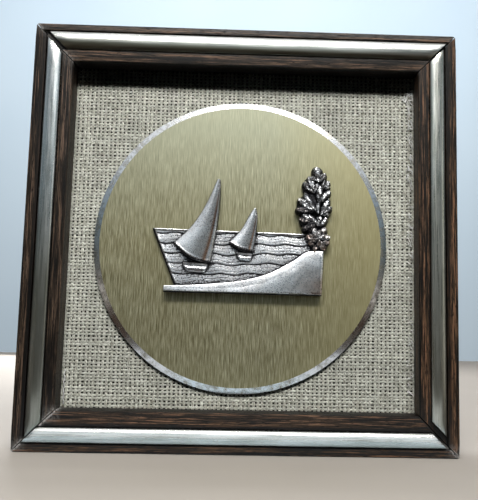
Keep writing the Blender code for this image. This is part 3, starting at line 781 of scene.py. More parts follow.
def curled_path(start, direction, length, curl, random, steps=7):
    """A path that starts at a place, sets off in a direction and curls as it goes."""
    path = [Vector(start)]
    angle = direction
    for _ in range(steps):
        angle += random.gauss(0, curl)
        onward = Vector((cos(angle), 0, sin(angle))) * length / steps
        lift = random.uniform(-0.04, 0.03) * MM
        path.append(path[-1] + onward + Vector((0, lift, 0)))
    for point in path:
        point.x = clamp(point.x, WINDOW_LEFT + 0.2 * MM, WINDOW_RIGHT - 0.2 * MM)
        point.z = clamp(point.z, WINDOW_BOTTOM + 0.2 * MM, WINDOW_TOP - 0.2 * MM)
        point.y = clamp(point.y, PANEL_FRONT - 0.9 * MM, PANEL_FRONT + 0.1 * MM)
    return path


def dress_lint():
    """Stray fibres: thinly all over the burlap, and thickly along its lower and right edges."""
    random = Random(29)
    disc_low, disc_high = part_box("disc")
    middle = (disc_low + disc_high) / 2
    runs = []
    while len(runs) < 420:
        kind = random.random()
        if kind < 0.40:
            x = random.uniform(WINDOW_LEFT, WINDOW_RIGHT)
            z = WINDOW_BOTTOM + abs(random.gauss(0, 0.9)) * MM
        elif kind < 0.62:
            x = WINDOW_RIGHT - abs(random.gauss(0, 1.0)) * MM
            z = random.uniform(WINDOW_BOTTOM, WINDOW_TOP)
        elif kind < 0.74:
            x = WINDOW_LEFT + abs(random.gauss(0, 0.8)) * MM
            z = random.uniform(WINDOW_BOTTOM, WINDOW_TOP)
        else:
            x = random.uniform(WINDOW_LEFT, WINDOW_RIGHT)
            z = random.uniform(WINDOW_BOTTOM, WINDOW_TOP)
        if hypot(x - middle.x, z - middle.z) < 51.5 * MM:
            continue
        start = (x, PANEL_FRONT - random.uniform(0.0, 0.15) * MM, z)
        path = curled_path(start, random.uniform(0, tau), random.uniform(1.0, 4.2) * MM, 0.55, random)
        runs.append(fibre(path, random.uniform(0.025, 0.06) * MM))
    lint = make_yarns("burlap_lint", runs)
    dress(lint, None, "beige_burlap", lint_finish("lint", (0.60, 0.56, 0.48)))
    lint.data.polygons.foreach_set("material_index", [0] * len(lint.data.polygons))


def lint_finish(name, colour):
    loose = Finish(name, Roughness=0.95, Specular_IOR_Level=0.1, Sheen_Weight=0.3)
    tint = loose.cloud(loose.scaled(1, 1, 1), 800, detail=3)
    pale = tuple(min(1.25 * part, 1) for part in colour)
    dark = tuple(0.85 * part for part in colour)
    return loose.put(Base_Color=loose.ramp(tint, (0.35, dark), (0.62, pale)), Normal=loose.bump(tint, 0.03 * MM, 0.6))


def dress_loose_threads():
    """A pale thread down the lower left edge, and a tuft that has pulled out at the upper right."""
    random = Random(5)
    front = PANEL_FRONT
    thread = []
    for n in range(26):
        z = WINDOW_BOTTOM + (1.0 + 11.5 * n / 25) * MM
        x = WINDOW_LEFT + (0.75 + 0.16 * sin(1.1 * n)) * MM
        thread.append(Vector((x, front - (0.30 + 0.08 * cos(0.9 * n)) * MM, z)))
    runs = [fibre(thread, 0.24 * MM)]
    tuft_x = WINDOW_RIGHT - 2.6 * MM
    tuft_z = WINDOW_TOP - 8.8 * MM
    for n in range(16):
        lean = mix(0.35, 1.35, n / 15)
        length = random.uniform(1.8, 4.4) * MM
        path = curled_path((tuft_x, front - 0.15 * MM, tuft_z), pi / 2 - 0.9 + lean, length, 0.30, random)
        runs.append(fibre(path, random.uniform(0.035, 0.08) * MM))
    for n in range(130):
        z = WINDOW_BOTTOM + (112 - 105 * random.random() ** 1.6) * MM
        length = random.uniform(1.2, 3.2) * MM
        start = (WINDOW_RIGHT - random.uniform(0.3, 2.2) * MM, front - 0.2 * MM, z)
        path = curled_path(start, random.gauss(-0.75, 0.5), length, 0.35, random)
        runs.append(fibre(path, random.uniform(0.07, 0.16) * MM))
    threads = make_yarns("loose_threads", runs)
    dress(threads, None, "beige_burlap", lint_finish("pale_thread", (0.92, 0.94, 0.92)))
    threads.data.polygons.foreach_set("material_index", [0] * len(threads.data.polygons))


# The disc

DISC_LOW, DISC_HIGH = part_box("disc")
DISC_MIDDLE = (DISC_LOW + DISC_HIGH) / 2
DISC_RADIUS = (DISC_HIGH.x - DISC_LOW.x) / 2
BEVEL_WIDTH = 2.0 * MM
EDGE_THICKNESS = 0.5 * MM


def dress_disc():
    """A round blank drawn forward and in to its bevel, with the front of the rim eased."""
    bpy.ops.object.select_all(action="DESELECT")
    back = (DISC_MIDDLE.x, DISC_HIGH.y, DISC_MIDDLE.z)
    bpy.ops.mesh.primitive_circle_add(
        vertices=256, radius=DISC_RADIUS, fill_type="NGON", location=back, rotation=(pi / 2, 0, 0))
    disc = bpy.context.object
    disc.name = "gilt_disc"
    settle(disc)
    share = (DISC_RADIUS - BEVEL_WIDTH) / DISC_RADIUS
    rise = DISC_HIGH.y - EDGE_THICKNESS - DISC_LOW.y
    open_mesh(disc)
    bpy.ops.mesh.select_mode(type="FACE")
    bpy.ops.mesh.extrude_region_move(TRANSFORM_OT_translate={"value": (0, -EDGE_THICKNESS, 0)})
    bpy.ops.mesh.extrude_region_move(TRANSFORM_OT_translate={"value": (0, -rise, 0)})
    bpy.ops.transform.resize(value=(share, 1, share), center_override=(DISC_MIDDLE.x, DISC_LOW.y, DISC_MIDDLE.z))
    bpy.ops.mesh.inset(thickness=0.12 * MM)
    bpy.ops.mesh.select_all(action="SELECT")
    bpy.ops.mesh.normals_make_consistent(inside=False)
    close_mesh()
    smooth(disc, 8)
    dress(disc, "disc", "gold_aluminium", brushed_gold(), cut_rim())
    for face in disc.data.polygons:
        across = hypot(face.center.x - DISC_MIDDLE.x, face.center.z - DISC_MIDDLE.z)
        bevel = across > DISC_RADIUS - BEVEL_WIDTH and face.normal.y < -0.2
        face.material_index = 1 if bevel or abs(face.normal.y) < 0.2 else 0


# The casting. Its drawing is in millimetres about the middle of the disc.

RELIEF_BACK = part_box("relief")[1].y
RIM_ROLL = 0.42


def relief_point(x, z, height):
    return Vector((DISC_MIDDLE.x + x * MM, RELIEF_BACK - height * MM, DISC_MIDDLE.z + z * MM))


def arch(share, power):
    """Rises from 0 to 1 and back as share goes from 0 to 1, and stays 0 outside."""
    return max(0.0, sin(pi * clamp(share))) ** power


def roll(distance, radius):
    """How far a rounded edge has fallen at a distance inside it."""
    if distance >= radius:
        return 0.0
    return radius - sqrt(max(radius * radius - (radius - max(distance, 0)) ** 2, 0))


def bead(distance, middle, width):
    return exp(-(((distance - middle) / width) ** 2))


def curve_through(points, share):
    """A place on the smooth curve through (x, z) points, at a share of the way along them."""
    spans = len(points) - 1
    at = min(share * spans, spans - 1e-9)
    n = floor(at)
    t = at - n
    before = points[max(n - 1, 0)]
    after = points[min(n + 2, spans)]
    return tuple(
        0.5 * (2 * b + (c - a) * t + (2 * a - 5 * b + 4 * c - d) * t * t + (3 * b - a - 3 * c + d) * t ** 3)
        for a, b, c, d in zip(before, points[n], points[n + 1], after)
    )


def shares(count, length, radius):
    """Even shares of a length, closer together where its edges are rolled."""
    edge = [radius * part / length for part in (0, 0.04, 0.15, 0.35, 0.65)]
    inner = [mix(radius / length, 1 - radius / length, n / count) for n in range(count + 1)]
    return edge + inner + [1 - part for part in reversed(edge)]


def raised_form(name, across, down, place, patina_and_shade=0.0, specked=0.6, browned=None, rugged=0.0):
    """A sheet whose points are moved to a form, with walls drawn back to the disc, and how dark it is from patina and
    painted shade, how speckled, brown and rugged.
    """
    bpy.ops.object.select_all(action="DESELECT")
    bpy.ops.mesh.primitive_grid_add(x_subdivisions=len(across) - 1, y_subdivisions=len(down) - 1, size=1)
    form = bpy.context.object
    form.name = name
    wide = len(across)
    brown, darkness = [], []
    for n, vertex in enumerate(form.data.vertices):
        u = across[n % wide]
        v = down[n // wide]
        vertex.co = relief_point(*place(u, v))
        brown.append(browned(u, v) if browned else 0.0)
        darkness.append(patina_and_shade(u, v) if callable(patina_and_shade) else patina_and_shade)
    set_numbers(form, "browned", brown)
    open_mesh(form)
    bpy.ops.mesh.region_to_loop()
    bpy.ops.mesh.extrude_region_move(TRANSFORM_OT_translate={"value": (0, 2 * MM, 0)})
    bpy.ops.mesh.edge_face_add()
    close_mesh()
    for vertex in form.data.vertices:
        if vertex.select:
            vertex.co.y = RELIEF_BACK
    open_mesh(form)
    bpy.ops.mesh.normals_make_consistent(inside=False)
    close_mesh()
    set_numbers(form, "patina_and_shade", darkness + [1.0] * (len(form.data.vertices) - len(darkness)))
    set_numbers(form, "specked", [specked] * len(form.data.vertices))
    set_numbers(form, "rugged", [rugged] * len(form.data.vertices))
    return form


SEA_HEIGHT = 1.7
WAVE_PITCH = 3.4
WAVE_STEP = 0.42
WAVE_CURL = 1.5
STEP_SHARE = 0.11
FINE_LINE = 0.035
EDGE_WIDTH = 0.9
SEA_TOP_LEFT = (-30.1, 5.1)
SEA_TOP_RIGHT = (24.5, 4.2)
SEA_FOOT_LEFT = (-21.9, -14.6)


def wave(x, z):
    """How far a place on the sea lies below its wave's crest, how dark it is there, and its fine line."""
    swell = 0.75 * noise.noise(Vector((x * 0.095, z * 0.10, 2.0))) + 0.26 * sin(tau * x / 9.0 + 0.35 * z)
    level = (z + swell) / WAVE_PITCH
    row = floor(level + 0.5)
    along = level - floor(level)
    step = clamp(1 - along / STEP_SHARE)
    cut = clamp(0.88 + 0.6 * noise.noise(Vector((x * 0.11, row * 5.3, 4.0))), 0.6, 1)
    shade = cut * max(step ** 0.5, clamp((along - 0.96) / 0.04))
    waver = 0.30 * noise.noise(Vector((x * 0.14, z * 0.12, 7.0)))
    line = max(0.0, cos(tau * (3 * along + waver))) ** 9
    patch = clamp(0.60 + 1.4 * noise.noise(Vector((x * 0.09, floor(3 * along) + 3.1 * floor(level), 9.0))))
    between = clamp(8 * (along - STEP_SHARE)) * clamp(8 * (1 - along))
    return max(along ** WAVE_CURL, step), shade, line * patch * between


def sea_spot(u, v):
    left = mix(SEA_TOP_LEFT[0], SEA_FOOT_LEFT[0], v)
    x = mix(left, SEA_TOP_RIGHT[0], u)
    top = mix(SEA_TOP_LEFT[1], SEA_TOP_RIGHT[1], u)
    z = mix(top, SEA_FOOT_LEFT[1], v)
    return x, z, x - left, top - z


def sea_place(u, v):
    x, z, from_left, from_top = sea_spot(u, v)
    below, _, line = wave(x, z)
    open_water = clamp((from_top - 0.5) / 0.5) * clamp((from_left - EDGE_WIDTH) / 0.4)
    height = SEA_HEIGHT - (WAVE_STEP * below + FINE_LINE * line) * open_water
    height += 0.10 * bead(from_top, 0.35, 0.25)
    height -= 0.6 * clamp(1 - from_left / EDGE_WIDTH) + roll(from_top, 0.3)
    return x, z, height


def sea_darkness(u, v):
    x, z, from_left, from_top = sea_spot(u, v)
    _, shade, line = wave(x, z)
    edge = clamp(1.4 - 1.2 * from_left / EDGE_WIDTH)
    return max(0.85 * line, 0.85 * shade, edge, 0.5 * clamp(1 - from_top / 0.25))


SHORE_LINE = [
    (-25.5, -14.3),
    (-16.0, -13.9),
    (-7.6, -13.2),
    (0.9, -12.1),
    (9.3, -9.7),
    (17.7, -5.2),
    (22.4, -2.0),
    (28.1, -1.6),
]
SHORE_FOOT_LEFT = (-25.4, -16.5)
SHORE_FOOT_RIGHT = (27.5, -16.8)
SHORE_HEIGHT = 3.3
SHORE_EDGE = 0.6


BANK_SLOPE = 0.27


def shore_place(u, v):
    """The beach: a broad bright bank above, a plain face that leans a little forward, and a sharp foot."""
    x, z = curve_through(SHORE_LINE, u)
    along = (x - SHORE_LINE[0][0]) / (SHORE_LINE[-1][0] - SHORE_LINE[0][0])
    foot_x = mix(SHORE_FOOT_LEFT[0], SHORE_FOOT_RIGHT[0], along)
    foot_z = mix(SHORE_FOOT_LEFT[1], SHORE_FOOT_RIGHT[1], along)
    depth = z - foot_z
    below = v * depth
    from_right = SHORE_LINE[-1][0] - x
    bank = mix(1.0, 2.9, clamp(along / 0.8)) * min(1, depth / 3) * mix(0.3, 1, clamp((27 - x) / 5))
    soft = mix(0.6, 3.4, along)
    above = bank - below
    height = SHORE_HEIGHT - BANK_SLOPE * 0.5 * (above + sqrt(above * above + soft * soft))
    past = clamp((below - bank) / max(depth - bank, 0.01))
    height += 0.32 * min(depth / 8, 1) * past
    height += 0.06 * noise.noise(Vector((x * 0.22, below * 0.30, 6.0)))
    height += 0.30 * bead(from_right, 0.75, 0.35) * clamp(below / 2)
    height -= roll(below, 0.25) + roll(from_right, 0.35) + roll(x - SHORE_LINE[0][0], 0.3)
    height -= 0.9 * clamp(1 - (depth - below) / SHORE_EDGE)
    return mix(x, foot_x, v), z - below, height


def shore_foot_shade(u, v):
    """Painted shade along the foot of the beach."""
    z = curve_through(SHORE_LINE, u)[1]
    from_foot = (1 - v) * (z - mix(SHORE_FOOT_LEFT[1], SHORE_FOOT_RIGHT[1], u))
    return clamp(1.3 - 1.2 * from_foot / SHORE_EDGE)


def shore_brown(u, v):
    """Brown towards the lower right of the beach."""
    return 0.55 * clamp((u - 0.72) / 0.25) * clamp((v - 0.35) / 0.4)


BIG_SAIL = {
    "left": [(-8.5, 22.5), (-11.4, 15.2), (-14.7, 9.0), (-18.2, 4.3), (-22.7, 0.0)],
    "right": [(-7.5, 22.3), (-7.3, 17.0), (-7.7, 10.0), (-8.7, 1.5), (-10.2, -6.7)],
    "belly": 3.9,
    "edge": 2.5,
    "foot sag": 1.5,
    "width": 12.5,
    "length": 28.0,
}
SMALL_SAIL = {
    "left": [(4.3, 12.8), (2.7, 10.3), (0.5, 6.0), (-1.8, 3.0), (-4.2, 0.6)],
    "right": [(5.0, 12.7), (5.5, 9.6), (5.4, 6.4), (5.0, 2.2), (4.2, -2.8)],
    "belly": 3.4,
    "edge": 2.4,
    "foot sag": 0.8,
    "width": 8.0,
    "length": 15.0,
}


def sail_place(sail):
    def place(u, v):
        left = curve_through(sail["left"], v)
        right = curve_through(sail["right"], v)
        sag = sail["foot sag"] * sin(pi * u) * v ** 2
        x = mix(left[0], right[0], u) - 0.35 * sag
        z = mix(left[1], right[1], u) - sag
        wide = hypot(right[0] - left[0], right[1] - left[1])
        belly = (sail["belly"] - sail["edge"]) * mix(0.35, 1, v)
        height = mix(0.8, 1, v) * sail["edge"] + belly * arch(u / 0.86, 0.8)
        height += 0.5 * bead(u, 0.93, 0.05) * clamp(wide / 4, 0.35, 1)
        from_foot = (1 - v) * sail["length"]
        height += 0.12 * bead(from_foot, 1.05, 0.22)
        edge = min(RIM_ROLL, wide / 2.2)
        height -= roll(u * wide, edge) + roll((1 - u) * wide, edge)
        height -= 1.1 * roll(from_foot, 0.85) + roll(v * sail["length"], 0.5)
        return x, z, height
    return place


def sail_patina_and_shade(sail):
    """Dark patina round the edge of a sail, and painted shade most of all along its foot."""
    def darkness(u, v):
        from_foot = (1 - v) * sail["length"]
        wide = sail["width"] * mix(0.1, 1, v)
        from_side = min(u, 1 - u) * wide
        return max(0.04, clamp(1.5 - from_foot / 1.2), 0.8 * clamp(1 - from_side / 0.45))
    return darkness


def sail_brown(u, v):
    """Brown in the valley beside each sail's edge."""
    return 0.95 * bead(u, 0.835, 0.055) * clamp((v - 0.10) / 0.3)


BIG_HULL = {"left": -19.3, "right": -10.8, "top": -6.3, "bottom": -9.4, "height": 3.0}
SMALL_HULL = {"left": -1.2, "right": 4.1, "top": -2.6, "bottom": -5.4, "height": 2.8}


def hull_place(hull):
    length = hull["right"] - hull["left"]
    depth = hull["top"] - hull["bottom"]

    def place(u, v):
        pinch = 0.07 * length * v ** 2
        end = (2 * u - 1) ** 6
        x = mix(hull["left"] + pinch, hull["right"] - pinch, u)
        z = hull["top"] - 0.06 * length * u - depth * v * (1 - 0.30 * end)
        below = v * depth
        height = hull["height"] - 0.35 + 0.40 * bead(below, 0.55, 0.28) + 0.36 * bead(below, 1.75, 0.42)
        height -= 0.5 * end + roll(u * length, 0.6) + roll((1 - u) * length, 0.6)
        height -= roll(below, 0.3) + 0.9 * roll(depth - below, 0.8)
        return x, z, height
    return place


# The tree's lobes stand in fans. Each fan has its foot, right and up, and how far it stands up,
# then for each lobe its heading in degrees, its length and its width.
TREE_FANS = (
    (26.0, 22.0, 4.1, ((93, 5.6, 4.0), (44, 3.9, 3.1), (137, 3.6, 3.0))),
    (24.7, 18.2, 3.8, ((108, 6.2, 3.4), (136, 5.4, 3.3), (78, 4.0, 2.4))),
    (27.2, 19.6, 3.5, ((45, 4.0, 2.9), (80, 3.6, 2.4), (12, 3.2, 2.2))),
    (26.4, 14.6, 4.7, ((96, 6.4, 3.4), (56, 5.8, 3.2))),
    (25.2, 12.0, 4.3, ((130, 7.3, 3.3), (153, 7.5, 3.6), (178, 7.0, 3.3))),
    (27.0, 10.8, 3.9, ((59, 6.4, 3.1), (35, 4.7, 2.9), (6, 3.0, 2.6))),
    (26.0, 11.0, 4.3, ((98, 4.2, 2.2),)),
    (25.5, 8.0, 4.2, ((145, 5.9, 3.5), (173, 6.1, 3.5), (203, 5.6, 3.3), (232, 4.6, 2.8))),
    (26.5, 6.8, 4.4, ((88, 4.0, 2.8), (38, 4.0, 2.6), (140, 3.0, 2.4))),
    (26.2, 2.6, 4.3, ((16, 4.2, 3.4), (58, 4.6, 3.3), (122, 4.3, 3.2), (172, 4.3, 3.4))),
    (26.2, 2.4, 4.2, ((214, 3.8, 3.3), (256, 4.6, 3.3), (298, 4.5, 3.3), (338, 4.2, 3.3))),
    (26.2, 2.6, 5.0, ((30, 2.7, 2.5), (92, 3.0, 2.5), (150, 2.7, 2.5), (212, 2.6, 2.5), (275, 2.8, 2.5))),
)
# The mass of the tree between its lobes: right, up, half width, half height, height
TREE_MASS = (
    (25.7, 17.0, 3.6, 9.4, 2.3),
    (22.0, 13.4, 3.2, 4.2, 2.2),
    (22.9, 20.2, 2.2, 3.4, 2.2),
    (28.2, 14.4, 1.9, 4.8, 2.2),
    (28.0, 21.0, 1.7, 2.6, 2.1),
    (22.9, 8.6, 3.0, 3.6, 2.2),
    (26.4, 5.6, 2.4, 6.2, 2.4),
    (26.2, 2.3, 3.7, 3.9, 2.6),
)


def tree_lobe(foot_right, foot_up, stand, lobe, number):
    """One lobe: a teardrop with a ridge along it that falls to its tip, and a shallow vein down the ridge."""
    heading, length, width = lobe
    random = Random(number)
    bow = random.gauss(0, 0.10)
    lift = random.uniform(0.90, 1.08)

    def place(u, v):
        across = 2 * u - 1
        if v < 0.62:
            half = width / 2 * mix(0.45, 1, sin(pi / 2 * v / 0.62))
        else:
            half = width / 2 * sqrt(max(1 - ((v - 0.62) / 0.38) ** 2, 0.0004))
        angle = radians(heading) + bow * v
        right = foot_right + length * v * cos(angle) - half * across * sin(angle)
        up = foot_up + length * v * sin(angle) + half * across * cos(angle)
        ridge = stand * lift * (1 - 0.16 * (1 - v) - 0.34 * v ** 3)
        vein = 0.32 * bead(across, 0.05, 0.20) * sin(pi * v) if length > 3.7 else 0.0
        dents = 0.75 * noise.noise(Vector((right * 0.62, up * 0.62, 3.0 * number)))
        dents += 0.40 * noise.noise(Vector((right * 1.5, up * 1.5, 3.0 * number)))
        height = ridge * (1 - 0.50 * abs(across) ** 2.4) - vein + dents
        return right, up, max(height, 0.9)
    return place


def lobe_patina_and_shade(all_over):
    """Bright on the ridge of a lobe and dark down its sides, on top of a darkness all over, which for lobes in shade is
    painted shade.
    """
    def darkness(u, v):
        return all_over + 0.65 * abs(2 * u - 1) ** 1.6 + 0.25 * (1 - v) ** 2
    return darkness


def lobe_brown(at_tip):
    def brown(u, v):
        return at_tip * v
    return brown


def tree_mass(mass):
    """A low dome that closes the gaps between lobes."""
    right, up, half_width, half_height, rise = mass

    def place(u, v):
        angle = tau * u
        lean = pi / 2 * v
        return (
            right + half_width * sin(lean) * cos(angle),
            up + half_height * sin(lean) * sin(angle),
            rise * mix(0.5, 1, cos(lean)),
        )
    return place


def make_tree():
    forms = []
    across = [n / 10 for n in range(11)]
    along = [0, 0.12, 0.25, 0.38, 0.50, 0.60, 0.69, 0.77, 0.84, 0.90, 0.95, 0.985, 1.0]
    for foot_right, foot_up, stand, lobes in TREE_FANS:
        for lobe in lobes:
            place = tree_lobe(foot_right, foot_up, stand, lobe, len(forms))
            in_bush = foot_up < 3
            # Lobes whose heading is past 165 degrees, pointing left and down, are in shade: their extra darkness and
            # brown are painted shade
            low = lobe[0] > 165
            darkness = (0.34 if in_bush else 0.80) if low else (0.26 if in_bush else 0.45)
            brown = (0.75 if in_bush else 0.60) if low else (0.25 if in_bush else 0.0)
            forms.append(raised_form("lobe", across, along, place, lobe_patina_and_shade(darkness), 0.8, lobe_brown(brown), 1.0))
    turns = [n / 30 for n in range(31)]
    rings = [n / 8 for n in range(9)]
    for mass in TREE_MASS:
        forms.append(raised_form("mass", turns, rings, tree_mass(mass), 0.6, 0.3, None, 0.6))
    return forms


def blurred(heights, radius):
    """Heights averaged over their neighbourhood, three times over."""
    size = 2 * radius + 1
    for _ in range(3):
        for axis in (0, 1):
            padded = np.pad(heights, [(radius + 1, radius) if a == axis else (0, 0) for a in (0, 1)], mode="edge")
            run = np.cumsum(padded, axis=axis)
            ahead = np.take(run, range(size, run.shape[axis]), axis=axis)
            behind = np.take(run, range(0, run.shape[axis] - size), axis=axis)
            heights = (ahead - behind) / size
    return heights


def hollows(casting):
    """How far each point of the casting lies below what is round it, for the dark in its recesses."""
    cell = 0.20 * MM
    points = points_of(casting)
    low = points.min(0) - 4 * MM
    column = ((points[:, 0] - low[0]) / cell).astype(int)
    row = ((points[:, 2] - low[2]) / cell).astype(int)
    height = (RELIEF_BACK - points[:, 1]) / MM
    tall = np.zeros((row.max() + 19, column.max() + 19))
    np.maximum.at(tall, (row, column), height)
    for _ in range(2):
        empty = tall <= 0.001
        grown = np.max([np.roll(tall, step, axis) for axis in (0, 1) for step in (-1, 1)], axis=0)
        tall = np.where(empty, grown, tall)
    near = blurred(tall, 2)[row, column] - height
    wide = blurred(tall, 6)[row, column] - height
    return np.clip(1.15 * near + 0.04, -0.25, 1.2) + np.clip(0.42 * wide, -0.12, 0.6)


def dress_relief():
    forms = [
        raised_form("sea", shares(180, 54.5, 0.9), shares(260, 19.5, 0.3), sea_place, sea_darkness, 0.85),
        raised_form("shore", shares(200, 53.5, 0.35), shares(60, 8, 0.6), shore_place, shore_foot_shade, 0.3, shore_brown),
        raised_form("big_hull", shares(34, 8.5, 0.6), shares(22, 3.1, 0.5), hull_place(BIG_HULL), 0.20),
        raised_form("small_hull", shares(26, 5.3, 0.6), shares(20, 2.8, 0.5), hull_place(SMALL_HULL), 0.24),
    ]
    for name, sail, wide, long in (("big_sail", BIG_SAIL, 36, 80), ("small_sail", SMALL_SAIL, 28, 56)):
        across = shares(wide, sail["width"], 0.5)
        down = shares(long, sail["length"], 0.85)
        forms.append(raised_form(name, across, down, sail_place(sail), sail_patina_and_shade(sail), 0.9, sail_brown))
    forms += make_tree()
    casting = forms[0]
    bpy.ops.object.select_all(action="DESELECT")
    for form in forms:
        form.select_set(True)
    bpy.context.view_layer.objects.active = casting
    bpy.ops.object.join()
    casting.name = "cast_relief"
    casting.data.name = "cast_relief"
    settle(casting)
    smooth(casting, 42)
    set_numbers(casting, "hollow", hollows(casting))
    dress(casting, "relief", "antique_silver", antique_silver())


# The hidden side keeps its solids

def finish_back():
    plated = zinc("zinc_hanger", (0.62, 0.61, 0.56))
    pin_metal = zinc("zinc_pins", (0.66, 0.64, 0.58))
    for node, finish in (
        ("backing_board", brown_board()),
        ("sawtooth_hanger", plated),
        ("hanger_pin_left", pin_metal),
        ("hanger_pin_right", pin_metal),
    ):
        frame["nodes"][node].material_slots[0].material = finish


# Floor, light and camera

def make_stage():
    bpy.ops.object.select_all(action="DESELECT")
    bpy.ops.mesh.primitive_plane_add(size=1.6, location=(0, -0.35, BOTTOM - 0.05 * MM))
    ground = bpy.context.object
    ground.name = "pale_floor"
    settle(ground)
    pale = Finish("pale_floor", Roughness=0.7, Specular_IOR_Level=0.2)
    shade = pale.ramp(pale.cloud(pale.scaled(1, 1, 1), 9, detail=2), (0.3, (0.42, 0.385, 0.35)), (0.7, (0.47, 0.43, 0.39)))
    ground.data.materials.append(pale.put(Base_Color=shade))
    bpy.ops.object.select_all(action="DESELECT")
    bpy.ops.mesh.primitive_plane_add(size=1.6, location=(0, 0.45, BOTTOM + 0.79), rotation=(pi / 2, 0, 0))
    wall = bpy.context.object
    wall.name = "pale_backdrop"
    settle(wall)
    cool = Finish("pale_backdrop", Roughness=0.8, Specular_IOR_Level=0.1)
    shade = cool.ramp(cool.cloud(cool.scaled(1, 1, 1), 6, detail=2), (0.3, (0.62, 0.75, 0.86)), (0.7, (0.67, 0.79, 0.89)))
    wall.data.materials.append(cool.put(Base_Color=shade))
    bpy.ops.object.select_all(action="DESELECT")
    bpy.ops.mesh.primitive_plane_add(size=1, location=(0, -0.0235, BOTTOM - 0.03 * MM))
    near = bpy.context.object
    near.name = "near_floor"
    near.scale = (0.17, 0.027, 1)
    settle(near)
    near.data.materials.append(wall.data.materials[0])
    shown = [near]
    for side in (-1, 1):
        bpy.ops.object.select_all(action="DESELECT")
        bpy.ops.mesh.primitive_plane_add(size=0.5, location=(0.45 * side, -0.27, BOTTOM - 0.03 * MM))
        beside = bpy.context.object
        beside.name = "floor_beside_" + ("left" if side < 0 else "right")
        settle(beside)
        beside.data.materials.append(ground.data.materials[0])
        shown.append(beside)
    for part in shown:
        part.visible_camera = False
        part.visible_shadow = False
    ground.visible_glossy = False
    for part in (ground, wall, *shown):
        part.visible_diffuse = False


def add_light(name, place, aim, size, power, colour, lights="all"):
    """A soft rectangular light. Some only light the surfaces, and some only show in what is shiny."""
    bpy.ops.object.light_add(type="AREA", location=place)
    light = bpy.context.object
    light.name = name
    light.data.shape = "RECTANGLE"
    light.data.size, light.data.size_y = size
    light.data.energy = power
    light.data.color = colour
    light.rotation_euler = (Vector(aim) - Vector(place)).to_track_quat("-Z", "Y").to_euler()
    light.visible_camera = False
    light.visible_diffuse = lights != "shine"
    light.visible_glossy = lights != "surfaces"


def around(azimuth, elevation, distance):
    """A place round the middle of the frame. Azimuth 0 is straight in front and 90 is to its right."""
    turn, rise = radians(azimuth), radians(elevation)
    middle = Vector((0, FRONT, (TOP + BOTTOM) / 2))
    return middle + distance * Vector((sin(turn) * cos(rise), -cos(turn) * cos(rise), sin(rise)))


# What shiny surfaces see round them: (height, colour) from straight below, -1, to straight above, 1
ROOM = (
    (-1.0, (0.030, 0.018, 0.012)),
    (-0.30, (0.058, 0.038, 0.028)),
    (-0.06, (0.085, 0.086, 0.078)),
    (0.20, (0.138, 0.18, 0.20)),
    (0.40, (0.30, 0.36, 0.41)),
    (0.55, (0.78, 0.82, 0.85)),
    (1.0, (0.90, 0.92, 0.94)),
)


# What lies past the floor and the backdrop in other views
OPEN_ROOM = (0.56, 0.60, 0.62)


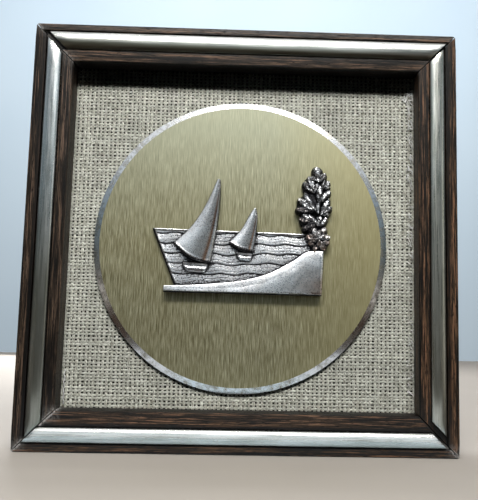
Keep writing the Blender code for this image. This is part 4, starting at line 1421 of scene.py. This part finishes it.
def make_light():
    """A long window high in front, a ceiling light, glows and a door gap that only shiny surfaces see, light on the
    backdrop and the back, and the room round about.
    """
    middle = (0, FRONT, (TOP + BOTTOM) / 2)
    add_light("window", around(4, 47, 0.6), middle, (0.40, 0.10), 4.1, (1.0, 0.985, 0.95))
    add_light("ceiling", around(0, 70, 0.9), middle, (0.6, 0.6), 1.2, (0.95, 0.98, 1.0), "surfaces")
    in_front = (0, -0.095, TOP + 0.06)
    add_light("window_glow", in_front, (0, FRONT, TOP + 0.06), (0.11, 0.17), 0.027, (0.86, 0.96, 1.0), "shine")
    add_light("back_window", (-0.10, 0.42, TOP), (-0.10, 0, TOP), (0.35, 0.25), 1.6, (1.0, 0.99, 0.97))
    low_front = (0, -0.036, BOTTOM + 0.008)
    add_light("low_glow", low_front, (0, FRONT, BOTTOM + 0.008), (0.155, 0.014), 0.005, (0.90, 0.96, 1.0), "shine")
    add_light("door_gap", around(66, 4, 0.5), middle, (0.022, 0.24), 0.075, (1.0, 1.0, 0.90), "shine")
    wall_middle = (0, 0.45, BOTTOM + 0.10)
    add_light("backdrop_light", (0, 0.10, BOTTOM + 0.50), wall_middle, (0.7, 0.1), 2.2, (0.95, 0.98, 1.0), "surfaces")
    world = bpy.data.worlds.new("soft_studio")
    bpy.context.scene.world = world
    world.cycles_visibility.diffuse = False
    world.use_nodes = True
    tree = world.node_tree
    background = tree.nodes["Background"]
    direction = tree.nodes.new("ShaderNodeTexCoord")
    parts = tree.nodes.new("ShaderNodeSeparateXYZ")
    level = tree.nodes.new("ShaderNodeMapRange")
    level.inputs["From Min"].default_value = -1
    shade = tree.nodes.new("ShaderNodeValToRGB")
    run = shade.color_ramp.elements
    while len(run) < len(ROOM):
        run.new(0.5)
    for stop, (height, colour) in zip(run, ROOM):
        stop.position = (height + 1) / 2
        stop.color = (*colour, 1)
    tree.links.new(direction.outputs["Generated"], parts.inputs[0])
    tree.links.new(parts.outputs["Z"], level.inputs["Value"])
    tree.links.new(level.outputs[0], shade.inputs[0])
    seen = tree.nodes.new("ShaderNodeLightPath")
    plain = tree.nodes.new("ShaderNodeMix")
    plain.data_type = "RGBA"
    plain.inputs[7].default_value = (*OPEN_ROOM, 1)
    tree.links.new(seen.outputs["Is Camera Ray"], plain.inputs[0])
    tree.links.new(shade.outputs[0], plain.inputs[6])
    tree.links.new(plain.outputs[2], background.inputs["Color"])
    bpy.context.scene.view_settings.view_transform = "Standard"


def make_camera():
    """Just right of the middle and low, looking slightly up, a little turned and off centre."""
    bpy.ops.object.camera_add(location=(3.4 * MM, -233.0 * MM, -92.4 * MM))
    camera = bpy.context.object
    turn = Matrix.Rotation(-0.0259, 4, "Z") @ Matrix.Rotation(pi / 2 + 0.1087, 4, "X") @ Matrix.Rotation(0.0213, 4, "Z")
    camera.rotation_euler = turn.to_euler()
    camera.data.sensor_width = 36
    camera.data.lens = 46.93
    camera.data.shift_x = -0.0608
    camera.data.shift_y = -0.0171
    camera.data.clip_start = 0.01
    camera.data.clip_end = 20
    bpy.context.scene.camera = camera


dress_frame()
dress_strips()
dress_shade_sheet()
dress_burlap()
dress_lint()
dress_loose_threads()
dress_disc()
dress_relief()
finish_back()
make_stage()
make_light()
make_camera()

bpy.context.view_layer.update()
